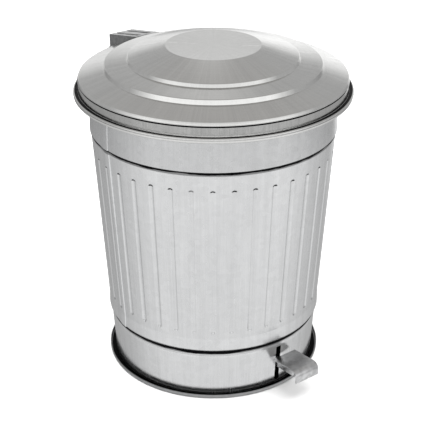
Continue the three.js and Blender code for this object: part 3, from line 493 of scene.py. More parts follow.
def rivet_tree():
    """Sets a rivet on every point, along the point's own direction."""
    tree, given = new_group("Set Rivets", "Geometry", {
        "Places": "Geometry", "Rivet": "Object", "Finish": "Material"}, ["Rivets"])
    blank = node(tree, "GeometryNodeObjectInfo", {"Object": given["Rivet"]})
    way = node(tree, "GeometryNodeInputNamedAttribute", {"Name": "outward"}, data_type="FLOAT_VECTOR")
    aim = node(tree, "FunctionNodeAlignRotationToVector", {"Vector": way.outputs["Attribute"]}, axis="Z")
    rivets = node(tree, "GeometryNodeInstanceOnPoints", {
        "Points": given["Places"], "Instance": blank.outputs["Geometry"],
        "Rotation": aim.outputs["Rotation"]})
    return end_in(tree, rivets.outputs["Instances"], given["Finish"], "Rivets")


def wire_tree():
    """Bends round wire along a line of edges, with its corners rounded."""
    tree, given = new_group("Bent Wire", "Geometry", {
        "Line": "Geometry", "Radius": 0.0025, "Bend": 0.005, "Sides": 24, "Finish": "Material"}, ["Wire"])
    curve = node(tree, "GeometryNodeMeshToCurve", {0: given["Line"]})
    fillet = node(tree, "GeometryNodeFilletCurve",
                  {"Count": 6, "Curve": curve.outputs[0], "Radius": given["Bend"]}, mode="POLY")
    circle = node(tree, "GeometryNodeCurvePrimitiveCircle",
                  {"Radius": given["Radius"], "Resolution": given["Sides"]})
    tube = node(tree, "GeometryNodeCurveToMesh", {
        "Curve": fillet.outputs[0], "Profile Curve": circle.outputs["Curve"], "Fill Caps": True})
    return end_in(tree, tube.outputs[0], given["Finish"], "Wire")


TREES = {"Pressed Flutes": flute_tree, "Set Rivets": rivet_tree, "Bent Wire": wire_tree}


def shaped(piece, name, tree_name, values):
    """Runs a geometry tree on an object, with its inputs set by identifier, and keeps the plain mesh."""
    tree = bpy.data.node_groups.get(tree_name) or TREES[tree_name]()
    modifier = piece.modifiers.new(tree.name, "NODES")
    modifier.node_group = tree
    for item in tree.interface.items_tree:
        if item.item_type == "SOCKET" and item.in_out == "INPUT" and item.name in values:
            modifier[item.identifier] = values[item.name]
    return plain_mesh(piece, name)


def wire_along(name, points, radius, bend):
    """A bent wire as a plain mesh."""
    line = object_of(name + "_line", points, [], edges=[(k, k + 1) for k in range(len(points) - 1)])
    return shaped(line, name, "Bent Wire", {"Radius": radius, "Bend": bend, "Finish": metal("plated wire")})


# ---- shared effects, as shader groups

def spangle_group():
    """Crystals of zinc: a shade and a height for each, with ragged borders."""
    tree, given = new_group("Zinc Spangle", "Shader", {
        "Position": "Vector", "Size": 0.008, "Contrast": 0.1}, ["Shade", "Height"])
    ragged = noise(tree, given["Position"], 320.0, 3.0)["Color"]
    shaken = ragged.through("ShaderNodeVectorMath", (ragged, (0.004, 0.004, 0.004), given["Position"]),
                            operation="MULTIPLY_ADD")
    crystals = node(tree, "ShaderNodeTexVoronoi", {"Vector": shaken, "Scale": 1.0 / given["Size"]})
    shade, height, _ = results(node(tree, "ShaderNodeSeparateColor", {0: crystals.outputs["Color"]})).values()
    node(tree, "NodeGroupOutput", {
        "Shade": (shade - 0.5).calc("MULTIPLY_ADD", given["Contrast"], 1.0), "Height": height})
    return tree


def streak_group():
    """Fine upright streaks of drawn sheet round the bin's axis, and the broad bands among them."""
    tree, given = new_group("Drawn Streaks", "Shader", {
        "Position": "Vector", "Axis Y": 0.0, "Fineness": 220.0, "Length": 0.12}, ["Streak", "Band"])
    x, y, z, radius = places(tree, given["Position"], given["Axis Y"])
    radius = radius.calc("MAXIMUM", 0.001)
    grain = {}
    for name, share in (("Streak", 1.0), ("Band", 0.09)):
        fineness = given["Fineness"] * share
        ring = node(tree, "ShaderNodeCombineXYZ", {
            "X": x / radius * fineness, "Y": y / radius * fineness, "Z": z / given["Length"]})
        grain[name] = noise(tree, ring.outputs[0], 1.0, 3.0)["Fac"]
    node(tree, "NodeGroupOutput", grain)
    return tree


def spun_group():
    """Fine rings left by spinning, round the bin's axis."""
    tree, given = new_group("Spun Rings", "Shader", {
        "Position": "Vector", "Axis Y": 0.0, "Fineness": 900.0}, ["Ring"])
    x, y, _, radius = places(tree, given["Position"], given["Axis Y"])
    ring = node(tree, "ShaderNodeCombineXYZ", {"X": radius * given["Fineness"], "Y": x * 9.0, "Z": y * 9.0})
    node(tree, "NodeGroupOutput", {"Ring": noise(tree, ring.outputs[0], 1.0, 2.0)["Fac"]})
    return tree


def painted_shade_group():
    """Painted shade in the creases that a mesh marks and where two surfaces come close."""
    tree, given = new_group("Crease Grime", "Shader", {
        "Position": "Vector", "Marked": 0.0, "Strength": 0.9, "Reach": 0.003}, ["Grime"])
    near = node(tree, "ShaderNodeAmbientOcclusion", {"Distance": given["Reach"]}, samples=8, only_local=False)
    # painted shade where two surfaces come close, read from ambient occlusion
    closed = results(near)["AO"].mapped(0.1, 0.4, 0.4, 0.0)
    patch = noise(tree, given["Position"], 40.0, 3.0)["Fac"]
    crisp = (given["Marked"] - patch.mapped(0.30, 0.70, 0.76, 0.20)).mapped(0.0, 0.12)
    film = given["Marked"].mapped(0.0, 0.25, 0.0, 0.56)
    both = crisp.calc("MAXIMUM", film).calc("MAXIMUM", closed)
    node(tree, "NodeGroupOutput", {"Grime": both.calc("MULTIPLY", given["Strength"], clamp=True)})
    return tree


def wear_group():
    """Bright worn edges, from how far an edge stands out."""
    tree, given = new_group("Edge Wear", "Shader", {"Position": "Vector", "Amount": 0.5}, ["Wear"])
    edge = results(node(tree, "ShaderNodeNewGeometry"))["Pointiness"].mapped(0.505, 0.56)
    broken = noise(tree, given["Position"], 160.0, 2.0)["Fac"].mapped(0.4, 0.62)
    node(tree, "NodeGroupOutput", {"Wear": edge * broken * given["Amount"]})
    return tree


GROUPS = {"Zinc Spangle": spangle_group, "Drawn Streaks": streak_group, "Spun Rings": spun_group,
          "Crease Grime": painted_shade_group, "Edge Wear": wear_group}


def effect(tree, name, position, **values):
    """Places a shared effect in a material, with its own values, and gives its results."""
    named = {key.replace("_", " ").title(): value for key, value in values.items()}
    group = bpy.data.node_groups.get(name) or GROUPS[name]()
    return results(node(tree, "ShaderNodeGroup", {"Position": position, **named}, node_tree=group))


def swing(grain, amount):
    """A factor that a grain moves up and down round 1."""
    return grain.mapped(0.3, 0.7, 1.0 - amount, 1.0 + amount)


# each finish: its colour setting, its roughness, and what differs from the usual zinc
FINISHES = {
    "zinc sheet": ("body_colour", 0.22, dict(spangle=0.045, streaks=0.04)),
    "zinc lid": ("lid_colour", 0.15, dict(spangle=0.012, streaks=0.03, rings=0.02, bump=0.05)),
    "dull zinc": ("bracket_colour", 0.34, dict(spangle=0.10, wear=0.5, bump=0.2)),
    "bucket zinc": ("bucket_colour", 0.40, dict(spangle=0.12, streaks=0.02, bump=0.15)),
    "plated wire": ("wire_colour", 0.30, dict(spangle=0.03, grime=0.6)),
    "rivet zinc": ("rivet_colour", 0.36, dict(spangle=0.05, grime=0.8, wear=0.6, bump=0.12)),
}
# the nearly black colour of the painted shade in creases
PAINTED_SHADE_COLOUR = (0.004, 0.004, 0.005, 1.0)


def new_material(name):
    """A new material, its tree, its Principled node and the object coordinates."""
    material = bpy.data.materials.new(name)
    material.use_nodes = True
    tree = material.node_tree
    position = node(tree, "ShaderNodeTexCoord").outputs["Object"]
    return material, tree, tree.nodes["Principled BSDF"], position


def metal(name):
    """One of the finishes, as a material that is built once."""
    tint, roughness, changes = FINISHES[name]
    return bpy.data.materials.get(name) or zinc(name, tint, roughness, **changes)


def zinc(name, tint, roughness, spangle, streaks=0.0, rings=0.0, grime=1.0, wear=0.3, bump=0.1):
    """Zinc-coated steel: crystals, drawing streaks or spun rings, worn edges and painted shade in the creases.
    """
    look = bpy.context.scene.pedal_bin_finish
    material, tree, surface, position = new_material(name)
    marked = node(tree, "ShaderNodeAttribute", attribute_name="crease").outputs["Fac"]
    crystals = effect(tree, "Zinc Spangle", position, size=look.spangle, contrast=spangle)
    drawn = effect(tree, "Drawn Streaks", position, axis_y=AXIS.y)
    spun = effect(tree, "Spun Rings", position, axis_y=AXIS.y)
    shade_amount = effect(tree, "Crease Grime", position, marked=marked, strength=grime * look.shade_amount)["Grime"]
    worn = effect(tree, "Edge Wear", position, amount=wear)["Wear"]

    shade = crystals["Shade"] * swing(drawn["Streak"], streaks) * swing(drawn["Band"], streaks)
    shade = shade * swing(spun["Ring"], rings) + worn * 0.5
    unshaded = scaled(tree, tuple(getattr(look, tint)), shade)
    darkened = node(tree, "ShaderNodeMix", {"Factor": shade_amount, "A": unshaded, "B": PAINTED_SHADE_COLOUR}, data_type="RGBA")
    rough = crystals["Height"].calc("MULTIPLY_ADD", 0.06, roughness - 0.03)
    rough = rough + drawn["Streak"].mapped(0.3, 0.7, -0.03, 0.05)
    rough = rough.calc("ADD", shade_amount * 0.4, clamp=True)
    height = crystals["Height"] * 0.5 + drawn["Streak"] * (streaks * 12) + spun["Ring"] * (rings * 10)
    relief = node(tree, "ShaderNodeBump", {"Strength": bump, "Distance": 0.0002, "Height": height})
    feed(surface, {"Base Color": darkened.outputs["Result"], "Roughness": rough, "Metallic": 1.0,
                   "Normal": relief.outputs[0]})
    return material


def scaled(tree, tint, factor):
    """A colour times a number."""
    return node(tree, "ShaderNodeVectorMath", {0: tint, "Scale": factor}, operation="SCALE").outputs[0]


# ---- body, base and floor

def wall(z):
    """Outer radius of the tapered wall at a height."""
    s = sizes()
    return s.band_radius - s.wall_taper * (s.band_low - z)


class BIN_OT_body(bpy.types.Operator):
    """The tapered wall with its flutes, beads, seam and rolled rim"""
    bl_idname = "pedal_bin.body"
    bl_label = "Body"

    def execute(self, context):
        s = sizes()
        half = s.sheet / 2

        def at(z, out=0.0, rise=0.0):
            return (wall(z) - half + out, z + rise)

        plain_low, plain_high = 0.097, 0.313          # the fluted part, clear of the beads' roundings
        foot = [at(s.body_low), at(s.body_low, s.bead_depth, 0.0024), at(s.foot_bead, 0.0, 0.002)]
        top = [at(s.bead_low), at(s.bead_low, s.bead_depth, 0.0009),
               (s.band_radius - half, s.band_low + 0.030)]
        roll = arc(s.band_radius - half + s.roll_radius, s.rim_height, s.roll_radius, 180, -150, 18)
        line = rounded(foot + [at(plain_low)], 0.0018, 4) + [at(z) for z in self.flute_rows(s)]
        line += rounded([at(plain_high)] + top + [roll[0]], 0.0009, 3) + roll[1:]

        reach = 0.0042                                 # of the painted shade below the upper bead's edge
        foot_end, bead_end = s.body_low + 0.0008, s.bead_low + 0.0018
        line = with_rows(line, [foot_end - 0.0002, foot_end + 0.0002, s.bead_low - reach,
                                s.bead_low - reach / 2, bead_end - 0.0002, bead_end + 0.0002])

        # painted shade: black along the body's lower edge, and black at the upper bead's lower edge, fading
        # over a band below it
        def rule(radius, height):
            if height < foot_end:
                return 1.0
            if height > bead_end:
                return 0.0
            return max(0.0, 1.0 - max(0.0, s.bead_low - height) / reach)

        outline = sheet_outline(line, s.sheet)
        piece = turned("body_wall", outline, self.wall_angles(s), painted_shade_along(line, rule))
        piece = shaped(piece, "body_wall", "Pressed Flutes", {
            "Flutes": s.flutes, "Width": s.flute_width, "Floor": s.flute_floor, "Depth": s.flute_depth,
            "Low": s.flute_low, "High": s.flute_high, "Seam Height": s.seam_height,
            "Seam Width": s.seam_width, "Seam Angle": s.seam_angle, "Axis Y": AXIS.y,
            "Finish": metal("zinc sheet")})
        settle(piece, "bin", "zinc_body", ["body_shell"])
        return {"FINISHED"}

    @staticmethod
    def wall_angles(s):
        """Angles that crowd round each flute and at the seam."""
        radius = 0.148                                 # of the wall at half its height
        near_flute = [-4.1, -3.5, -2.9, -2.3, -1.7, -1.0, 0.0, 1.0, 1.7, 2.3, 2.9, 3.5, 4.1, 8.3, 12.3, 16.3]
        far = s.seam_width / MM
        near_seam = [-0.7, -0.25, 0.0, 0.25, 0.7, far - 0.3, far + 0.3]
        angles = [k * TURN / s.flutes + place * MM / radius for k in range(s.flutes) for place in near_flute]
        angles += [s.seam_angle - place * MM / radius for place in near_seam]
        return sorted(a % TURN for a in angles)

    @staticmethod
    def flute_rows(s):
        """Heights between the two beads, close together at the flutes' ends."""
        ends = [k * 0.0007 for k in range(9)]
        lower = [s.flute_low - 0.0005 + e for e in ends]
        upper = [s.flute_high + 0.0005 - e for e in reversed(ends)]
        middle = [lower[-1] + (upper[0] - lower[-1]) * k / 8 for k in range(1, 8)]
        return lower + middle + upper


class BIN_OT_base(bpy.types.Operator):
    """The base collar with its pedal slots and turned-up foot, and the floor"""
    bl_idname = "pedal_bin.base"
    bl_label = "Base and Floor"

    # direction, lower end and upper end of the slots for the pedal lever, at the front and at the back
    SLOTS = ((0.0, 0.006, 0.060), (math.pi, 0.006, 0.046))
    SLOT_HALF = 0.00375 / 0.139                        # half a slot's width, as an angle
    GUTTER = 0.1425                                    # radius at which the wall has become the foot

    def execute(self, context):
        s = sizes()
        half = s.sheet / 2
        clear = s.sheet + 0.0003                       # the body's sheet and the play inside it

        def at(z, inward=0.0):
            return (wall(z) - clear - half - inward, z)

        foot = at(0.015)[0]
        lip, bend, lip_bend = 0.1465 - half, 0.0015, 0.002
        # the wall, with a shallow groove under the body's edge
        line = spread([at(0.086), at(0.0725), at(0.0687), at(0.0655, 0.0004), at(0.0645), (foot, 0.015)], 0.004)
        line += [(foot, 0.0060), (foot, 0.0034)] + arc(foot + bend, half + bend, bend, 180, 270, 6)
        line += arc(lip - lip_bend, half + lip_bend, lip_bend, 270, 360, 6) + [(lip, 0.0055)]
        cuts = [(way + side * self.SLOT_HALF) % TURN for way, _, _ in self.SLOTS for side in (-1, 1)]
        angles = [TURN * k / 240 for k in range(240)]
        angles = sorted([a for a in angles if all(abs(a - c) > 0.012 for c in cuts)] + cuts)
        piece = self.slotted(line, angles, s)
        settle(piece, "bin", "zinc_body", ["base_collar"])
        self.floor(s)
        return {"FINISHED"}

    @staticmethod
    def grime(radius, height, s):
        """Painted shade under the body's edge, in the gutter behind the foot, and a faint painted shade on the
        foot itself.
        """
        if height > 0.05:
            return max(0.0, 1.0 - max(0.0, s.body_low - 0.0036 - height) / 0.0030)
        if radius > 0.1445:
            return 0.23
        return min(1.0, max(0.0, (0.0032 - height) / 0.0012))

    def slotted(self, line, angles, s):
        """The collar's middle surface with its slots left open, given its thickness afterwards."""
        rows = with_rows(line, sorted({z for _, low, high in self.SLOTS for z in (low, high)}))
        vertices = [round_place(radius, t, height) for radius, height in rows for t in angles]
        marks = [self.grime(radius, height, s) for radius, height in rows for _ in angles]
        count = len(angles)
        faces = []
        for i in range(len(rows) - 1):
            middle = (rows[i][1] + rows[i + 1][1]) / 2
            on_wall = rows[i][0] < self.GUTTER
            for j in range(count):
                k = (j + 1) % count
                centre = (angles[j] + (angles[k] if k else TURN)) / 2
                if on_wall and any(abs((centre - way + math.pi) % TURN - math.pi) < self.SLOT_HALF
                                   and low < middle < high for way, low, high in self.SLOTS):
                    continue
                a, b = i * count, (i + 1) * count
                faces.append((a + j, b + j, b + k, a + k))
        piece = object_of("base_ring", vertices, faces, marks)
        solid = piece.modifiers.new("Sheet", "SOLIDIFY")
        solid.thickness = s.sheet
        solid.offset = 0.0
        solid.use_even_offset = True
        return plain_mesh(piece, "base_ring")

    @staticmethod
    def floor(s):
        """The floor, raised in its middle, with a flange down inside the collar."""
        inner = 2 * s.sheet + 0.0006 + s.sheet / 2
        edge, step, raised = 0.0795, 0.0815, 0.0835
        bend = (wall(edge) - inner, edge)
        line = [(0.0, raised), (0.096, raised), (0.099, step), (bend[0] - 0.002, step), bend,
                (wall(0.072) - inner, 0.072)]
        outline = sheet_outline(rounded(line, 0.0015, 4), s.sheet, from_axis=True)
        piece = turned("body_bottom", outline, 192, closed=False)
        settle(piece, "bin", "zinc_floor", ["body_floor"])


# ---- lid

class BIN_OT_lid(bpy.types.Operator):
    """The lid: flat disc, stepped cone, skirt and rolled edge"""
    bl_idname = "pedal_bin.lid"
    bl_label = "Lid"

    # the middle line of the sheet, from the shoulder down and round the rolled edge
    SHOULDER = [(0.1710, 0.40283), (0.1718, 0.4025), (0.17305, 0.3992), (0.1731, 0.3986), (0.1725, 0.3982)]
    SKIRT = [(0.1724, 0.3976), (0.1728, 0.3868)]
    GUTTER = [(0.1730, 0.3852), (0.1737, 0.3843), (0.1752, 0.3840), (0.1770, 0.3842)]
    LIP = [(0.1780, 0.3848), (0.1787, 0.3849), (0.1791, 0.3842), (0.1789, 0.3834), (0.1791, 0.3822)]
    UNDER = [(0.1787, 0.3800), (0.1772, 0.3789), (0.1752, 0.3790), (0.1741, 0.3805), (0.1740, 0.3822)]

    def execute(self, context):
        s = sizes()
        # outer face: disc, first cone, its step, second cone, its step and the outer slope
        face = [(0.0, 0.4393), (0.061, 0.4393), (0.10885, 0.4266), (0.11035, 0.4218), (0.13865, 0.4180),
                (0.14015, 0.4117), (0.1722, 0.4030)]
        face = rounded([(radius, height - s.sheet / 2) for radius, height in face], 0.0008, 5)
        edge = rounded(self.SHOULDER, 0.0004, 3)
        rolled = rounded([edge[-1]] + self.SKIRT + self.GUTTER + self.LIP + self.UNDER, 0.0006, 3)
        line = with_rows(face[:-1] + edge + rolled[1:], [0.3960, 0.3964, 0.3846, 0.3850])

        # painted shade: black in the crease under the shoulder and in the rolled edge's gutter
        def rule(radius, height):
            crease = 0.3962 < height < 0.39835 and radius < 0.1730
            in_gutter = 0.3835 < height < 0.3848 and 0.1727 < radius < 0.1783
            return 1.0 if crease or in_gutter else 0.0

        piece = turned("lid_cover", sheet_outline(line, s.sheet, from_axis=True), 288,
                       painted_shade_along(line, rule, upward=False), closed=False)
        settle(piece, "lid", "zinc_lid", ["lid_shell"], sharp=50)
        return {"FINISHED"}


# ---- pins, washers and spacers

def middle_of(node_name):
    """The middle of a CAD node, half its width and half its height."""
    low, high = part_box(node_name)
    return (low + high) / 2, (high.x - low.x) / 2, (high.z - low.z) / 2


def settle_across(piece, centre, body, node_name):
    """Lays a piece that was turned round the bin's axis across the bin, at a centre, and seats it."""
    lay = Matrix.Rotation(math.radians(90), 4, "Y")
    piece.data.transform(Matrix.Translation(centre) @ lay @ Matrix.Translation(-AXIS))
    settle(piece, body, "plated_steel", [node_name])


def pin(name, radius, node_name, body):
    """A cross pin with two formed heads."""
    centre, half, _ = middle_of(node_name)
    thick, soft = 0.0015, 0.0005
    head = radius + thick
    end = [(radius, half - thick - 0.0001), (head, half - thick), (head, half - soft), (head - soft, half),
           (0.0, half)]
    outline = [(r, -x) for r, x in reversed(end)] + end
    settle_across(turned(name, outline, 40, closed=False), centre, body, node_name)


def ring_on_pin(name, inner, node_name, body):
    """A washer or spacer that fills its node's box."""
    centre, half, outer = middle_of(node_name)
    soft = 0.0003
    outline = [(inner, -half), (outer - soft, -half), (outer, -half + soft), (outer, half - soft),
               (outer - soft, half), (inner, half)]
    settle_across(turned(name, outline, 40), centre, body, node_name)


class BIN_OT_hinge(bpy.types.Operator):
    """The strap on the lid, the bracket on the body, their pins and washers"""
    bl_idname = "pedal_bin.hinge"
    bl_label = "Hinge"

    def execute(self, context):
        strap = softened("hinge_strap", "lid_hinge_strap", 0.0004, 3)
        darkened = strap.data.attributes.new("crease", "FLOAT", "POINT")
        for vertex in strap.data.vertices:
            if abs(vertex.normal.x) > 0.3:             # a flange, given painted shade that is darker along its lower edge, where it meets the lid
                darkened.data[vertex.index].value = 0.75 if vertex.normal.z < -0.2 else 0.25
        settle(strap, "lid", "zinc_bracket", ["lid_hinge_strap"], **PRESSED)
        bracket = softened("body_bracket", "hinge_bracket")
        settle(bracket, "bin", "zinc_bracket", ["hinge_bracket"], **PRESSED)
        pin("strap_pin", 0.0025, "hinge_pin", "bin")
        pin("rod_lift_pin", 0.0025, "lift_pin", "lid")
        for side in ("left", "right"):
            ring_on_pin(f"strap_washer_{side}", 0.00265, f"hinge_washer_{side}", "bin")
        return {"FINISHED"}


# ---- pedal and lift rod

class BIN_OT_linkage(bpy.types.Operator):
    """The tread, lever, pivot, lift rod and the rod's guides"""
    bl_idname = "pedal_bin.linkage"
    bl_label = "Pedal and Rod"

    def execute(self, context):
        for name, node_name, body, width in (
                ("foot_tread", "pedal_tread", "pedal", 0.0005), ("foot_lever", "pedal_lever", "pedal", 0.0003),
                ("pivot_bracket", "pedal_pivot_bracket", "bin", 0.0003),
                ("lower_guide", "rod_guide_lower", "bin", 0.0003),
                ("upper_guide", "rod_guide_upper", "bin", 0.0003)):
            settle(softened(name, node_name, width, 3), body, "zinc_bracket", [node_name], **PRESSED)
        pin("lever_axle", 0.003, "pedal_axle", "bin")
        for side in ("left", "right"):
            ring_on_pin(f"lever_spacer_{side}", 0.00315, f"pivot_spacer_{side}", "bin")
        self.rod()
        return {"FINISHED"}

    @staticmethod
    def rod():
        """A round rod with a slotted eye on top and a bent leg with a cap."""
        tilt = math.atan(sizes().wall_taper)           # the rod runs along the wall
        up = Vector((0.0, math.sin(tilt), math.cos(tilt)))
        corner = Vector((0.0075, 0.1617617 + AXIS.y, 0.0109))
        eye_height = 0.3665849
        middle = corner + up * ((eye_height - corner.z) / up.z)
        leg_end = corner - Vector((0.0125, 0.0, 0.0))
        rod = wire_along("rod_wire", [middle - up * 0.0050, corner, leg_end], 0.0025, 0.005)
        across = up.cross(Vector((1, 0, 0)))
        arm, half_swing = 0.024, math.radians(37.5)    # of the strap's lift pin round the hinge
        slot_half = arm * (1 - math.cos(half_swing)) / 2 + 0.0003

        def loop(radius, x):
            points = arc(slot_half, 0, radius, -90, 90, 14) + arc(-slot_half, 0, radius, 90, 270, 14)
            return [middle + across * a + up * b + Vector((x, 0, 0)) for a, b in points]

        soft, outer, inner, half = 0.0003, 0.0071, 0.0031, 0.00125
        section = ((inner, -half), (outer - soft, -half), (outer, -half + soft), (outer, half - soft),
                   (outer - soft, half), (inner, half))
        eye = hoops("rod_eye", [loop(radius, x) for radius, x in section])
        settle(joined("lifting_rod", [rod, eye]), "rod", "plated_steel", ["lift_rod"])
        cap = softened("rod_end_cap", "rod_cap", 0.0004, 3)
        settle(cap, "rod", "plated_steel", ["rod_cap"], sharp=45)


# ---- inner bucket

class BIN_OT_bucket(bpy.types.Operator):
    """The lift-out bucket, its ears, bail and grip"""
    bl_idname = "pedal_bin.bucket"
    bl_label = "Bucket"

    RIM = 0.346                                        # height of the middle of the rolled rim

    @staticmethod
    def side(z):
        """Outer radius of the bucket, which is clear of the body all round."""
        return wall(z) - sizes().sheet - 0.0013 - 0.016

    def execute(self, context):
        s = sizes()
        half = s.sheet / 2

        def at(z, out=0.0):
            return (self.side(z) - half + out, z)

        bottom, bead, roll_radius = 0.0823, 0.0008, 0.0022
        foot, low = at(bottom)[0], bottom + half
        line = [(0.0, low + 0.005), (foot - 0.026, low + 0.005), (foot - 0.020, low), (foot - 0.004, low),
                (foot, low + 0.004), at(0.300), at(0.302, bead), at(0.306, bead), at(0.308)]
        roll = arc(at(self.RIM)[0] + roll_radius, self.RIM, roll_radius, 180, -140, 16)
        outline = sheet_outline(rounded(line + [roll[0]], 0.0025, 4) + roll[1:], s.sheet, from_axis=True)
        piece = turned("inner_bucket", outline, 192, closed=False)
        settle(piece, "bucket", "zinc_bucket", ["bucket_shell"])
        for name in ("left", "right"):
            ear = softened(f"bail_ear_{name}", f"bucket_ear_{name}")
            settle(ear, "bucket", "zinc_bucket", [f"bucket_ear_{name}"], **PRESSED)
        self.bail()
        return {"FINISHED"}

    def bail(self):
        """The bail lies on the rim's front half and ends in the ears. Its grip is ribbed."""
        height = 0.3547
        radius = self.side(self.RIM) - 0.003
        low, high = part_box("bail_wire")
        turns = [math.radians(-84 + 168 * k / 28) for k in range(29)]
        ring = [Vector(round_place(radius, t, height)) for t in turns]
        left = [Vector((x, AXIS.y, height)) for x in (low.x, -radius)]
        right = [Vector((x, AXIS.y, height)) for x in (radius, high.x)]
        wire = wire_along("bail_hoop", left + ring + right, 0.002, 0.004)
        settle(wire, "bail", "plated_steel", ["bail_wire"])

        half_angle, steps, sides, ribs = 0.042 / radius, 28, 20, 6
        thick, rib, end, bore = 0.0055, 0.0004, 0.0049, 0.0030
        swells = [thick - rib * (1 - math.cos(TURN * ribs * k / steps)) / 2 for k in range(steps + 1)]
        swells[0] = swells[-1] = end
        loops = []
        for k, reach in list(enumerate(swells)) + [(k, bore) for k in range(steps, -1, -1)]:
            t = -half_angle + 2 * half_angle * k / steps
            out = Vector((math.sin(t), -math.cos(t), 0))
            loops.append([AXIS + out * (radius + reach * math.cos(TURN * j / sides))
                          + Vector((0, 0, height + reach * math.sin(TURN * j / sides)))
                          for j in range(sides)])
        grip = hoops("bail_handle", loops)
        settle(grip, "bail", "zinc_bucket", ["bail_grip"], finish="dull zinc")


# ---- rivets and wires

class BIN_OT_rivets(bpy.types.Operator):
    """Round-headed rivets, one piece for each body"""
    bl_idname = "pedal_bin.rivets"
    bl_label = "Rivets"

    def execute(self, context):
        tilt = math.atan(sizes().wall_taper)
        slope = math.atan((0.4112 - 0.4021) / (0.1710 - 0.14015))          # of the lid under the strap
        # how far each group leans up from level, which is all the way down under the floor
        leans = {"hinge": 0.0, "rod": -tilt, "bucket": -tilt, "strap": math.pi / 2 - slope,
                 "pivot": -math.pi / 2}
        for body, groups, name in (("bin", ("hinge", "rod", "pivot"), "bin_rivets"),
                                   ("lid", ("strap",), "lid_rivets"),
                                   ("bucket", ("bucket",), "bucket_rivets")):
            members = sorted(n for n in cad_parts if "rivet" in n and n.startswith(groups))
            spots, ways = [], []
            for member in members:
                group = member.split("_")[0]
                centre = middle_of(member)[0]
                out = Vector((centre.x, centre.y - AXIS.y, 0)).normalized()
                way = out * math.cos(leans[group]) + Vector((0, 0, math.sin(leans[group])))
                grip = 0.0028 if group in ("pivot", "bucket") else 0.0033
                spots.append(centre + way * (grip + 0.0003) / 2)
                ways.append(way)
            self.set_rivets(body, name, members, spots, ways)
        return {"FINISHED"}

    @staticmethod
    def set_rivets(body, name, members, spots, ways):
        """Turns a rivet and sets it on the spots, each with its head along its way."""
        grip = 0.0028 if body == "bucket" else 0.0031
        dome = [(0.0038 * math.cos(math.radians(a)), 0.0003 + 0.0015 * math.sin(math.radians(a)))
                for a in range(75, -1, -15)]
        tail = [(0.0018, -grip), (0.0030, -grip - 0.0003), (0.0026, -grip - 0.0014), (0.0, -grip - 0.0018)]
        outline = [(0.0, 0.0018)] + dome + [(0.0036, 0.0001), (0.0018, 0.0001)] + tail
        blank = turned("rivet_blank", outline, 20, closed=False)
        blank.data.transform(Matrix.Translation(-AXIS))
        points = object_of(name + "_places", spots, [])
        layer = points.data.attributes.new("outward", "FLOAT_VECTOR", "POINT")
        layer.data.foreach_set("vector", [c for way in ways for c in way])
        piece = shaped(points, name, "Set Rivets", {"Rivet": blank, "Finish": metal("rivet zinc")})
        bpy.data.objects.remove(blank)
        settle(piece, body, "rivet_steel", members)


class BIN_OT_wires(bpy.types.Operator):
    """Finish of the wires inside the rolled edges"""
    bl_idname = "pedal_bin.wires"
    bl_label = "Rim Wires"

    def execute(self, context):
        for name in ("body_rim_wire", "lid_rim_wire"):
            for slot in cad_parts[name].material_slots:
                slot.material = metal("plated wire")
        return {"FINISHED"}


# ---- stage

def grey(level, tint=0.0):
    """A grey that is warm for a positive tint and cool for a negative one."""
    return (level * (1 + tint), level, level * (1 - tint), 1.0)


def elevation(degrees):
    """The height of a direction that points so many degrees above the horizon."""
    return math.sin(math.radians(degrees))


def sky_ramp(tree, height, *stops):
    """A grey for each height of the direction looked in. A stop is an angle above the horizon, a level and
    perhaps a tint, and the stops run from straight down to straight up."""
    ramp = node(tree, "ShaderNodeValToRGB", {"Fac": height.mapped(-1.0, 1.0)})
    elements = ramp.color_ramp.elements
    for degrees, *_ in stops[1:-1]:
        elements.new((elevation(degrees) + 1) / 2)
    for element, (degrees, *shade) in zip(elements, stops):
        element.position = (elevation(degrees) + 1) / 2
        element.color = grey(*shade)
    return ramp.outputs["Color"]


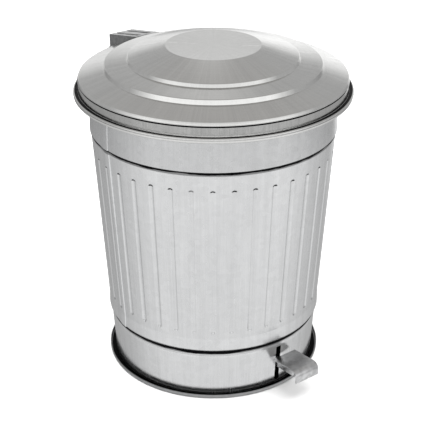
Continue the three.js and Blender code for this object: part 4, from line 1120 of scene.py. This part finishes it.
def sky_tree(world, strength, front_way):
    """A grey studio with a pale table and a bright screen in front of the bin, a dim gap between them, and
    a bright low wall with an upright window behind the bin. The camera itself sees plain white."""
    world.use_nodes = True
    tree = world.node_tree
    tree.nodes.clear()
    way = node(tree, "ShaderNodeTexCoord").outputs["Generated"]
    x, y, z, level = places(tree, way, 0.0)
    level = level.calc("MAXIMUM", 0.05)
    facing = (x * front_way.x + y * front_way.y) / level           # 1 towards the camera, -1 away from it
    right = (y * front_way.x - x * front_way.y) / level            # 1 to the picture's right

    total = sky_ramp(
        tree, z, (-90, 0.40), (-50, 0.44), (-30, 0.46), (-23, 0.42), (-18, 0.28), (-12, 0.26), (-6, 0.42),
        (0, 0.50), (30, 0.46), (60, 0.47, 0.02), (90, 0.46, 0.02))
    front = sky_ramp(
        tree, z, (-90, 0.35), (-45, 0.52), (-34, 0.56), (-27, 0.70), (-22, 0.66), (-18, 0.14), (-12, 0.10),
        (-7, 0.28), (-2, 0.68), (10, 0.80), (22, 0.5), (35, 0.12), (50, 0.0), (90, 0.0))
    table_edge, screen_edge = elevation(-21), elevation(-17)
    lit = right.calc("MULTIPLY_ADD", 0.12, facing - 0.03)
    table = z.mapped(screen_edge, table_edge) * lit.mapped(-1.0, 0.40)
    screen = z.mapped(table_edge, screen_edge) * facing.mapped(0.0, 0.55)

    wall_left = sky_ramp(
        tree, z, (-90, 0.0), (-12, 0.0), (-8, 0.25), (-4, 0.45), (6, 0.45), (12, 0.32), (18, 0.02), (90, 0.0))
    wall_right = sky_ramp(
        tree, z, (-90, 0.0), (-29, 0.0), (-24, 0.45), (-20, 0.80), (6, 0.68), (13, 0.40), (19, 0.02),
        (90, 0.0))
    window = sky_ramp(
        tree, z, (-90, 0.0), (14, 0.0), (22, 0.34), (27, 0.40), (36, 0.24), (46, 0.15), (60, 0.0), (90, 0.0))
    behind = facing.mapped(-0.80, -0.93)
    upright = (right + 0.02).calc("ABSOLUTE").mapped(0.05, 0.20, 1.0, 0.0)
    for part, share in ((front, table + screen), (wall_left, behind * right.mapped(0.12, -0.08)),
                        (wall_right, behind * right.mapped(-0.08, 0.12)), (window, behind * upright)):
        total = node(tree, "ShaderNodeVectorMath", {0: total, 1: scaled(tree, part, share)}).outputs[0]

    around = node(tree, "ShaderNodeBackground", {"Strength": strength, "Color": total})
    seen = node(tree, "ShaderNodeBackground", {"Color": (1.0, 1.0, 1.0, 1.0)})
    path = node(tree, "ShaderNodeLightPath")
    choose = node(tree, "ShaderNodeMixShader", {
        0: path.outputs["Is Camera Ray"], 1: around.outputs[0], 2: seen.outputs[0]})
    node(tree, "ShaderNodeOutputWorld", {"Surface": choose.outputs[0]})


def aimed(name, data, place, look):
    """A camera or a lamp at a place that looks along a direction."""
    thing = linked(name, data)
    thing.location = place
    thing.rotation_euler = look.to_track_quat("-Z", "Y").to_euler()
    return thing


class BIN_OT_stage(bpy.types.Operator):
    """Pale floor, soft studio light and the camera"""
    bl_idname = "pedal_bin.stage"
    bl_label = "Stage"

    def execute(self, context):
        scene = context.scene
        stage = scene.pedal_bin_stage
        toward = Vector((math.sin(stage.turn), -math.cos(stage.turn), 0))
        data = bpy.data.cameras.new("camera")
        data.sensor_width = 36.0
        data.lens = stage.lens
        look = -toward * math.cos(stage.pitch) - Vector((0, 0, math.sin(stage.pitch)))
        place = AXIS + toward * stage.distance + Vector((0, 0, stage.height))
        scene.camera = aimed("camera", data, place, look)

        data = bpy.data.lights.new("floor light", "AREA")
        data.size = 3.4
        data.energy = stage.floor_light
        lamp = aimed("floor light", data, Vector((0.0, 0.0, 2.6)), Vector((0, 0, -1)))
        lamp.visible_glossy = False
        lamp.visible_camera = False

        self.floor("pale_floor", 8.0, -0.0002, 0.91).visible_glossy = False
        # a nearly black disc under the bin: painted shade that keeps the inside of the base dark through its
        # slots
        self.floor("shaded_floor", 0.142, -0.0001, 0.02)
        world = bpy.data.worlds.new("studio")
        scene.world = world
        sky_tree(world, stage.sky, toward)
        scene.view_settings.view_transform = "Standard"
        scene.view_settings.look = "None"
        return {"FINISHED"}

    @staticmethod
    def floor(name, reach, height, shade):
        """A round piece of the floor."""
        count = 96
        ring = [(AXIS.x + reach * math.cos(TURN * k / count), AXIS.y + reach * math.sin(TURN * k / count),
                 height) for k in range(count)]
        piece = object_of(name, ring, [tuple(range(count))])
        material, tree, surface, position = new_material(name.replace("_", " "))
        mix = node(tree, "ShaderNodeMix", {
            "Factor": noise(tree, position, 60.0, 2.0)["Fac"], "A": grey(shade * 0.98), "B": grey(shade)},
            data_type="RGBA")
        feed(surface, {"Base Color": mix.outputs["Result"], "Roughness": 0.8, "Specular IOR Level": 0.0})
        piece.data.materials.append(material)
        return piece


# ---- panel and registration

PIECES = (BIN_OT_body, BIN_OT_base, BIN_OT_lid, BIN_OT_hinge, BIN_OT_linkage, BIN_OT_bucket, BIN_OT_rivets,
          BIN_OT_wires, BIN_OT_stage)


class BIN_PT_panel(bpy.types.Panel):
    """Builds the bin piece by piece"""
    bl_idname = "BIN_PT_panel"
    bl_label = "Pedal Bin"
    bl_space_type = "VIEW_3D"
    bl_region_type = "UI"
    bl_category = "Pedal Bin"

    def draw(self, context):
        for name, group in SETTINGS:
            box = self.layout.box()
            for key in group.__annotations__:
                box.prop(getattr(context.scene, name), key)
        for piece in PIECES:
            self.layout.operator(piece.bl_idname)


def register():
    """Registers the settings, the operators and the panel."""
    for name, group in SETTINGS:
        bpy.utils.register_class(group)
        setattr(bpy.types.Scene, name, bpy.props.PointerProperty(type=group))
    for item in PIECES + (BIN_PT_panel,):
        bpy.utils.register_class(item)


def unregister():
    """Takes out what register put in."""
    for item in reversed(PIECES + (BIN_PT_panel,)):
        bpy.utils.unregister_class(item)
    for name, group in SETTINGS:
        delattr(bpy.types.Scene, name)
        bpy.utils.unregister_class(group)


def main():
    """Builds every piece and the stage, in order."""
    register()
    for piece in PIECES:
        group, name = piece.bl_idname.split(".")
        getattr(getattr(bpy.ops, group), name)()


if __name__ == "__main__":
    main()
